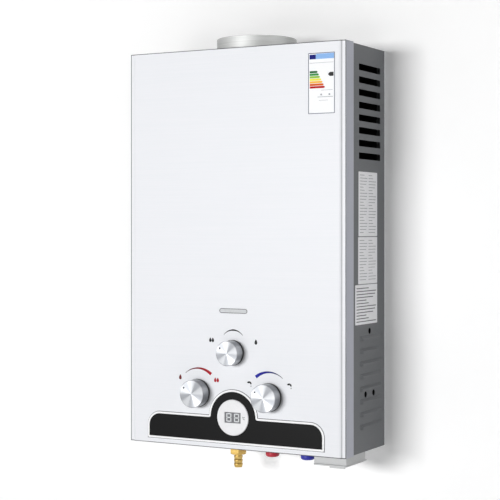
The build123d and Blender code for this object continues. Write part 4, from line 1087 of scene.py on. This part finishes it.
@dataclass
class Fascia:
    """Black fascia with its pale surround, a dark line of painted shade round it, and temperature
    display.

    The first four sizes repeat the solids': the fascia's shoulder and corner, the hump over the
    display, and the width of the surround's border.
    """

    shoulder: float = 37.5
    corner: float = 20.0
    hump: float = 41.5
    border: float = 3.2
    edge_shade_line: float = 0.9
    print_height: float = 0.15
    digit_height: float = 14.0
    digit_width: float = 9.4
    digit_pitch: float = 14.4
    digit_count: int = 2
    segment: float = 1.9
    segment_gap_share: float = 0.35
    degree_offset: float = 20.2
    degree_ring: Point = (-1.6, 1.6)
    degree_radii: tuple[float, float] = (0.9, 0.5)
    degree_steps: int = 14
    letter_middle: Point = (1.2, 0.0)
    letter_radii: tuple[float, float] = (2.1, 1.5)
    letter_ends: tuple[float, float] = (130.0, 410.0)

    def dress(self) -> None:
        """Finishes the fascia and display nodes."""
        dress(BLACK_ACRYLIC, "fascia_plate")
        dress(WHITE_ABS, "fascia_frame")
        dress(PALE_ABS, "display_bezel")
        dress(DISPLAY_GLASS, "display_lens")
        dress(BOARD, "display_board")
        dress(BLACK_ABS, "display_housing")

    def build(self) -> None:
        """Lays the dark line of painted shade round the surround, and prints the display's digits and
        the degree sign.
        """
        low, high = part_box("fascia_frame")
        bezel_low, bezel_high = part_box("display_bezel")
        middle = (low.x + high.x) / 2
        centre_height = ((bezel_low.z + bezel_high.z) / 2 - low.z) / MM
        half = (high.x - low.x) / 2 / MM
        rings = [self.outline(half, centre_height, grow) for grow in (self.edge_shade_line, 0.0)]
        place = facing(Side.FRONT, Vector((middle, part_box("front_cover")[0].y, low.z)))
        # Painted shade: a dark line round the surround's outer edge.
        inlay("fascia_edge_shade", rings, self.print_height, place, DARK_GREY_INK)
        lens_low, lens_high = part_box("display_lens")
        screen = Vector((middle, lens_low.y, (lens_low.z + lens_high.z) / 2))
        for count in range(self.digit_count):
            shift = (count - (self.digit_count - 1) / 2) * self.digit_pitch
            place = facing(Side.FRONT, screen + Vector((shift * MM, 0, 0)))
            inlay(f"display_digit_{count}", self.digit(), self.print_height, place, SEGMENT_INK)
        disc = Vector((middle + self.degree_offset * MM, bezel_low.y, screen.z))
        inlay("display_degree", self.degree_sign(), self.print_height, facing(Side.FRONT, disc),
              DARK_GREY_INK)

    def outline(self, half: float, centre: float, grow: float) -> Outline:
        """The surround's outer outline, moved out.

        Args:
            half: Half the surround's width.
            centre: Height of the display's middle over the surround's lower edge.
            grow: How far the outline moves out.

        Returns:
            The closed outline, clockwise from the top of the hump.
        """
        half, low = half + grow, -grow
        top = self.shoulder + 2 * self.border + grow
        corner, hump = self.corner + self.border + grow, self.hump + self.border + grow
        lean = math.degrees(math.acos((top - centre) / hump))
        right = arc((0, centre), hump, 0, lean, steps=20)
        right += arc((half - corner, top - corner), corner, 0, QUARTER, steps=10) + [(half, low)]
        return right + [(-x, z) for x, z in reversed(right)]

    def digit(self) -> list[Outline]:
        """Outlines of a seven-segment digit with every segment lit, centred on zero.

        Returns:
            One outline for each segment, the level ones first.
        """
        w, h, t = self.digit_width / 2, self.digit_height / 2, self.segment / 2
        gap = t * self.segment_gap_share
        reach, side = w - 2 * t - gap, w - t
        level = [bar(-reach, reach, z - t, z + t) for z in (h - t, 0.0, t - h)]
        upright = [bar(x - t, x + t, z + gap, z + h - gap) for x in (-side, side) for z in (-h, 0.0)]
        return level + upright

    def degree_sign(self) -> list[Outline]:
        """Outlines of the degree sign and its letter, centred on zero.

        Returns:
            The ring's two circles and the letter's bow.
        """
        rings = [circle(self.degree_ring, radius, self.degree_steps) for radius in self.degree_radii]
        first, last = self.letter_ends
        outer, inner = self.letter_radii
        bow = arc(self.letter_middle, outer, last, first) + arc(self.letter_middle, inner, first, last)
        return rings + [bow]


@dataclass(frozen=True)
class SidePlate:
    """One plate on the right side panel.

    Attributes:
        front: Its front edge, behind the cover's front.
        rear: Its rear edge, behind the cover's front.
        low: Its lower edge, over the cover's.
        high: Its upper edge, over the cover's lower edge.
        columns: How many columns of rules it has.
        weight: How thick a rule is.
        ink: What the rules are printed with.
    """

    front: float
    rear: float
    low: float
    high: float
    columns: int
    weight: float
    ink: Finish


@dataclass
class Labels:
    """Plain stuck-on plates: a banded rating label on the front and ruled plates on the right side.

    Places on the rating label are measured to the right and down from its upper left corner.
    """

    rating_middle: float = 158.6
    rating_width: float = 46.5
    rating_low: float = 536.4
    rating_height: float = 96.0
    border_inset: float = 0.3
    border_width: float = 1.0
    film: float = 0.12
    header: tuple[Point, ...] = (
        (2.4, 2.8), (2.4, 10.2), (44.9, 10.2), (44.9, 1.8), (14.4, 1.8), (14.4, 2.8))
    block: Edges = (2.6, 13.4, 10.1, 2.9)
    band_colours: tuple[tuple[str, str], ...] = (
        ("0F6129", "13662D"), ("2E8C38", "33903D"), ("8FC23A", "94C541"), ("F2EA48", "F3EC50"),
        ("F8B840", "F8BC4A"), ("DA5F1C", "DD6422"), ("BA0C14", "BE1118"))
    band_start: float = 2.8
    first_band: float = 30.2
    band_pitch: float = 4.0
    band_width: float = 3.3
    band_reach: float = 14.0
    band_growth: float = 2.1
    pointer: tuple[Point, ...] = ((34.6, 34.6), (37.8, 37.8), (44.2, 37.8), (44.2, 31.4), (37.8, 31.4))
    label_rules: tuple[Edges, ...] = (
        (2.6, 44.0, 16.3, 15.8), (22.8, 42.5, 59.3, 58.8), (16.5, 43.3, 70.0, 69.2),
        (18.9, 34.6, 75.2, 74.7))
    dots: tuple[Point, ...] = ((22.8, 66.0), (37.0, 66.0))
    dot_radius: float = 1.5
    dot_steps: int = 15
    plates: tuple[SidePlate, ...] = (
        SidePlate(50.8, 123.3, 344.8, 447.5, 2, 0.8, FAINT_INK),
        SidePlate(49.7, 123.3, 268.9, 343.6, 2, 0.8, FAINT_INK),
        SidePlate(38.4, 123.3, 204.6, 267.8, 1, 1.3, DARK_GREY_INK),
    )
    plate_corner: float = 1.5
    plate_margin: float = 5.0
    column_gap: float = 5.0
    rule_pitch: float = 4.8
    rule_shares: tuple[float, ...] = (0.62, 0.95, 0.5, 1.0, 0.85)
    row_stride: int = 3
    column_stride: int = 2
    web_strip: float = 1.0

    def build(self) -> None:
        """Makes the rating label and the side plates."""
        self.make_rating()
        self.make_plates()

    def make_rating(self) -> None:
        """Makes the rating label: border, header, stepped bars, pointer and ruled foot."""
        low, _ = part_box("front_cover")
        width, height = self.rating_width, self.rating_height
        foot = low.z + self.rating_low * MM
        place = facing(Side.FRONT, Vector((self.rating_middle * MM, low.y, foot)))
        over = place @ Matrix.Translation((0, 0, self.film * MM))
        sheet = self.on_label(bar(0, width, height, 0))
        inlay("rating_label", [sheet], self.film, place, LABEL_PAPER)
        insets = (self.border_inset, self.border_inset + self.border_width)
        rings = [self.on_label(bar(inset, width - inset, height - inset, inset)) for inset in insets]
        inlay("rating_border", rings, self.film, over, SLATE_INK)
        inlay("rating_header", [self.on_label(self.header)], self.film, over, SKY_INK)
        block = self.on_label(bar(*self.block))
        inlay("rating_block", [block], self.film * 2, over, NAVY_INK)
        for row, (colour, shade) in enumerate(self.band_colours):
            ink = PrintInk(f"band_ink_{row}", colour, shade, specular=0.1)
            inlay(f"rating_band_{row}", [self.band(row)], self.film, over, ink)
        pointer = self.on_label(self.pointer)
        inlay("rating_pointer", [pointer], self.film, over, BLACK_INK)
        rules = [self.on_label(bar(*edges)) for edges in self.label_rules]
        dots = [circle(dot, self.dot_radius, self.dot_steps) for dot in self.on_label(self.dots)]
        inlay("rating_rules", rules + dots, self.film, over, FAINT_INK)

    def on_label(self, points: Outline | tuple[Point, ...]) -> Outline:
        """Points on the rating label, in its own plane.

        Args:
            points: The points, to the right and down from the label's upper left corner.

        Returns:
            The points, to the right of the label's middle and up from its lower edge.
        """
        return [(x - self.rating_width / 2, self.rating_height - fall) for x, fall in points]

    def band(self, row: int) -> Outline:
        """Outline of one stepped bar with a pointed end.

        Args:
            row: Which bar, 0 for the highest.

        Returns:
            The closed outline in the label's own plane.
        """
        fall, rise = self.first_band + self.band_pitch * row, self.band_width / 2
        tip = self.band_start + self.band_reach + self.band_growth * row
        return self.on_label([(self.band_start, fall + rise), (tip - rise, fall + rise), (tip, fall),
                              (tip - rise, fall - rise), (self.band_start, fall - rise)])

    def make_plates(self) -> None:
        """Makes the side plates with their rules."""
        low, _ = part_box("front_cover")
        face = self.web_face()
        for count, plate in enumerate(self.plates):
            half, height = (plate.rear - plate.front) / 2, plate.high - plate.low
            middle = low.y + (plate.front + plate.rear) / 2 * MM
            place = facing(Side.RIGHT, Vector((face, middle, low.z + plate.low * MM)))
            sheet = rounded_bar(-half, half, 0, height, self.plate_corner)
            inlay(f"side_plate_{count}", [sheet], self.film, place, PLATE_FILM)
            over = place @ Matrix.Translation((0, 0, self.film * MM))
            inlay(f"side_plate_rules_{count}", self.rules(plate), self.film / 2, over, plate.ink)

    def rules(self, plate: SidePlate) -> list[Outline]:
        """Short rules of uneven length that stand for a plate's rows.

        Args:
            plate: The plate.

        Returns:
            One closed outline for each rule, in the plate's own plane.
        """
        width, height = plate.rear - plate.front, plate.high - plate.low
        pitch = (width - 2 * self.plate_margin + self.column_gap) / plate.columns
        full = pitch - self.column_gap
        outlines = []
        for row in range(int((height - 2 * self.plate_margin) / self.rule_pitch) + 1):
            top = height - self.plate_margin - self.rule_pitch * row
            for column in range(plate.columns):
                left = self.plate_margin - width / 2 + pitch * column
                turn = (row * self.row_stride + column * self.column_stride) % len(self.rule_shares)
                right = left + full * self.rule_shares[turn]
                outlines.append(bar(left, right, top - plate.weight, top))
        return outlines

    def web_face(self) -> float:
        """Finds the outer face of the right side panel's flat web, above its louvres.

        Returns:
            The face's X, in metres.
        """
        places = [vert.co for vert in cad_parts["side_panel_right"].data.vertices]
        top = max(place.z for place in places)
        return max(place.x for place in places if place.z > top - self.web_strip * MM)


@dataclass
class Connections:
    """Gas and water connections and the battery box under the casing."""

    def dress(self) -> None:
        """Finishes the nodes under the casing."""
        dress(BRASS, "gas_inlet_nut", "gas_hose_barb", "hot_outlet_stub", "cold_inlet_stub")
        dress(RED_CAP, "hot_cap")
        dress(BLUE_CAP, "cold_cap")
        dress(GREY_ABS, "battery_box", "battery_lid")
        dress(ZINC, "battery_hinge_pin")
        dress(CELL_FILM, "battery_cells")


@dataclass
class Interior:
    """Burner, exchanger, valves and wiring inside the casing."""

    def dress(self) -> None:
        """Finishes the inner nodes."""
        # Nearly black hood and brackets: painted shade seen through the vents.
        dress(HOOD_STEEL, "flue_hood", "exchanger_brackets")
        dress(COPPER, "combustion_chamber", "heat_exchanger_fins", "exchanger_coil", "cold_feed_pipe",
              "hot_outlet_pipe")
        dress(BURNER_STEEL, "burner_frame", "burner_bars")
        dress(CAST_ALUMINIUM, "gas_manifold", "gas_valve_body", "gas_riser")
        dress(BRASS, "pipe_unions", "gas_nozzles", "season_valve_body", "water_valve_body",
              "diaphragm_cover", "gland_nuts")
        dress(RUBBER, "diaphragm")
        dress(ZINC, "linkage_rod", "switch_lever", "overheat_switch")
        dress(BLACK_ABS, "micro_switch", "igniter_box")
        dress(CERAMIC, "electrodes")
        dress(SILICONE, "ignition_lead")


@dataclass
class WaterHeater:
    """The whole heater, made of its sub-assemblies."""

    casing: Casing = field(default_factory=Casing)
    fascia: Fascia = field(default_factory=Fascia)
    labels: Labels = field(default_factory=Labels)
    connections: Connections = field(default_factory=Connections)
    interior: Interior = field(default_factory=Interior)
    dials: list[Dial] = field(default_factory=lambda: [
        Dial("season", 23.0, 13.5, 50.0, (0.5, 2.6, 0.5), ("0C0C0E", "131315"),
             [(Mark.FLAMES, (-40.7, 19.2), BLACK_INK), (Mark.FLAME, (41.8, 18.7), BLACK_INK)],
             Body.SEASON, 20.0),
        Dial("gas", 38.0, 2.3, 40.0, (0.5, 2.6, 5.4), ("1C0A0C", "B00A24"),
             [(Mark.FLAME, (-34.6, 24.2), DARK_RED_INK), (Mark.FLAMES, (34.6, 22.8), RED_INK)],
             Body.GAS, 22.4),
        Dial("water", 38.0, 2.0, 40.0, (5.4, 2.8, 0.5), ("0C169A", "0A0C1C"),
             [(Mark.TAP, (-36.2, 20.6), BLACK_INK), (Mark.TAP, (36.2, 21.0), BLACK_INK)],
             Body.WATER, 22.4),
    ])

    def build(self) -> None:
        """Dresses the nodes and adds the pieces of every sub-assembly."""
        for part in (self.casing, self.fascia, self.connections, self.interior, *self.dials):
            part.dress()
        for part in (self.casing, self.fascia, self.labels, *self.dials):
            part.build()


def main() -> None:
    """Builds the heater and the studio round it."""
    logging.basicConfig(level=logging.INFO, format="%(name)s: %(message)s")
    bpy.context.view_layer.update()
    WaterHeater().build()
    Studio().build()


if __name__ == "__main__":
    main()
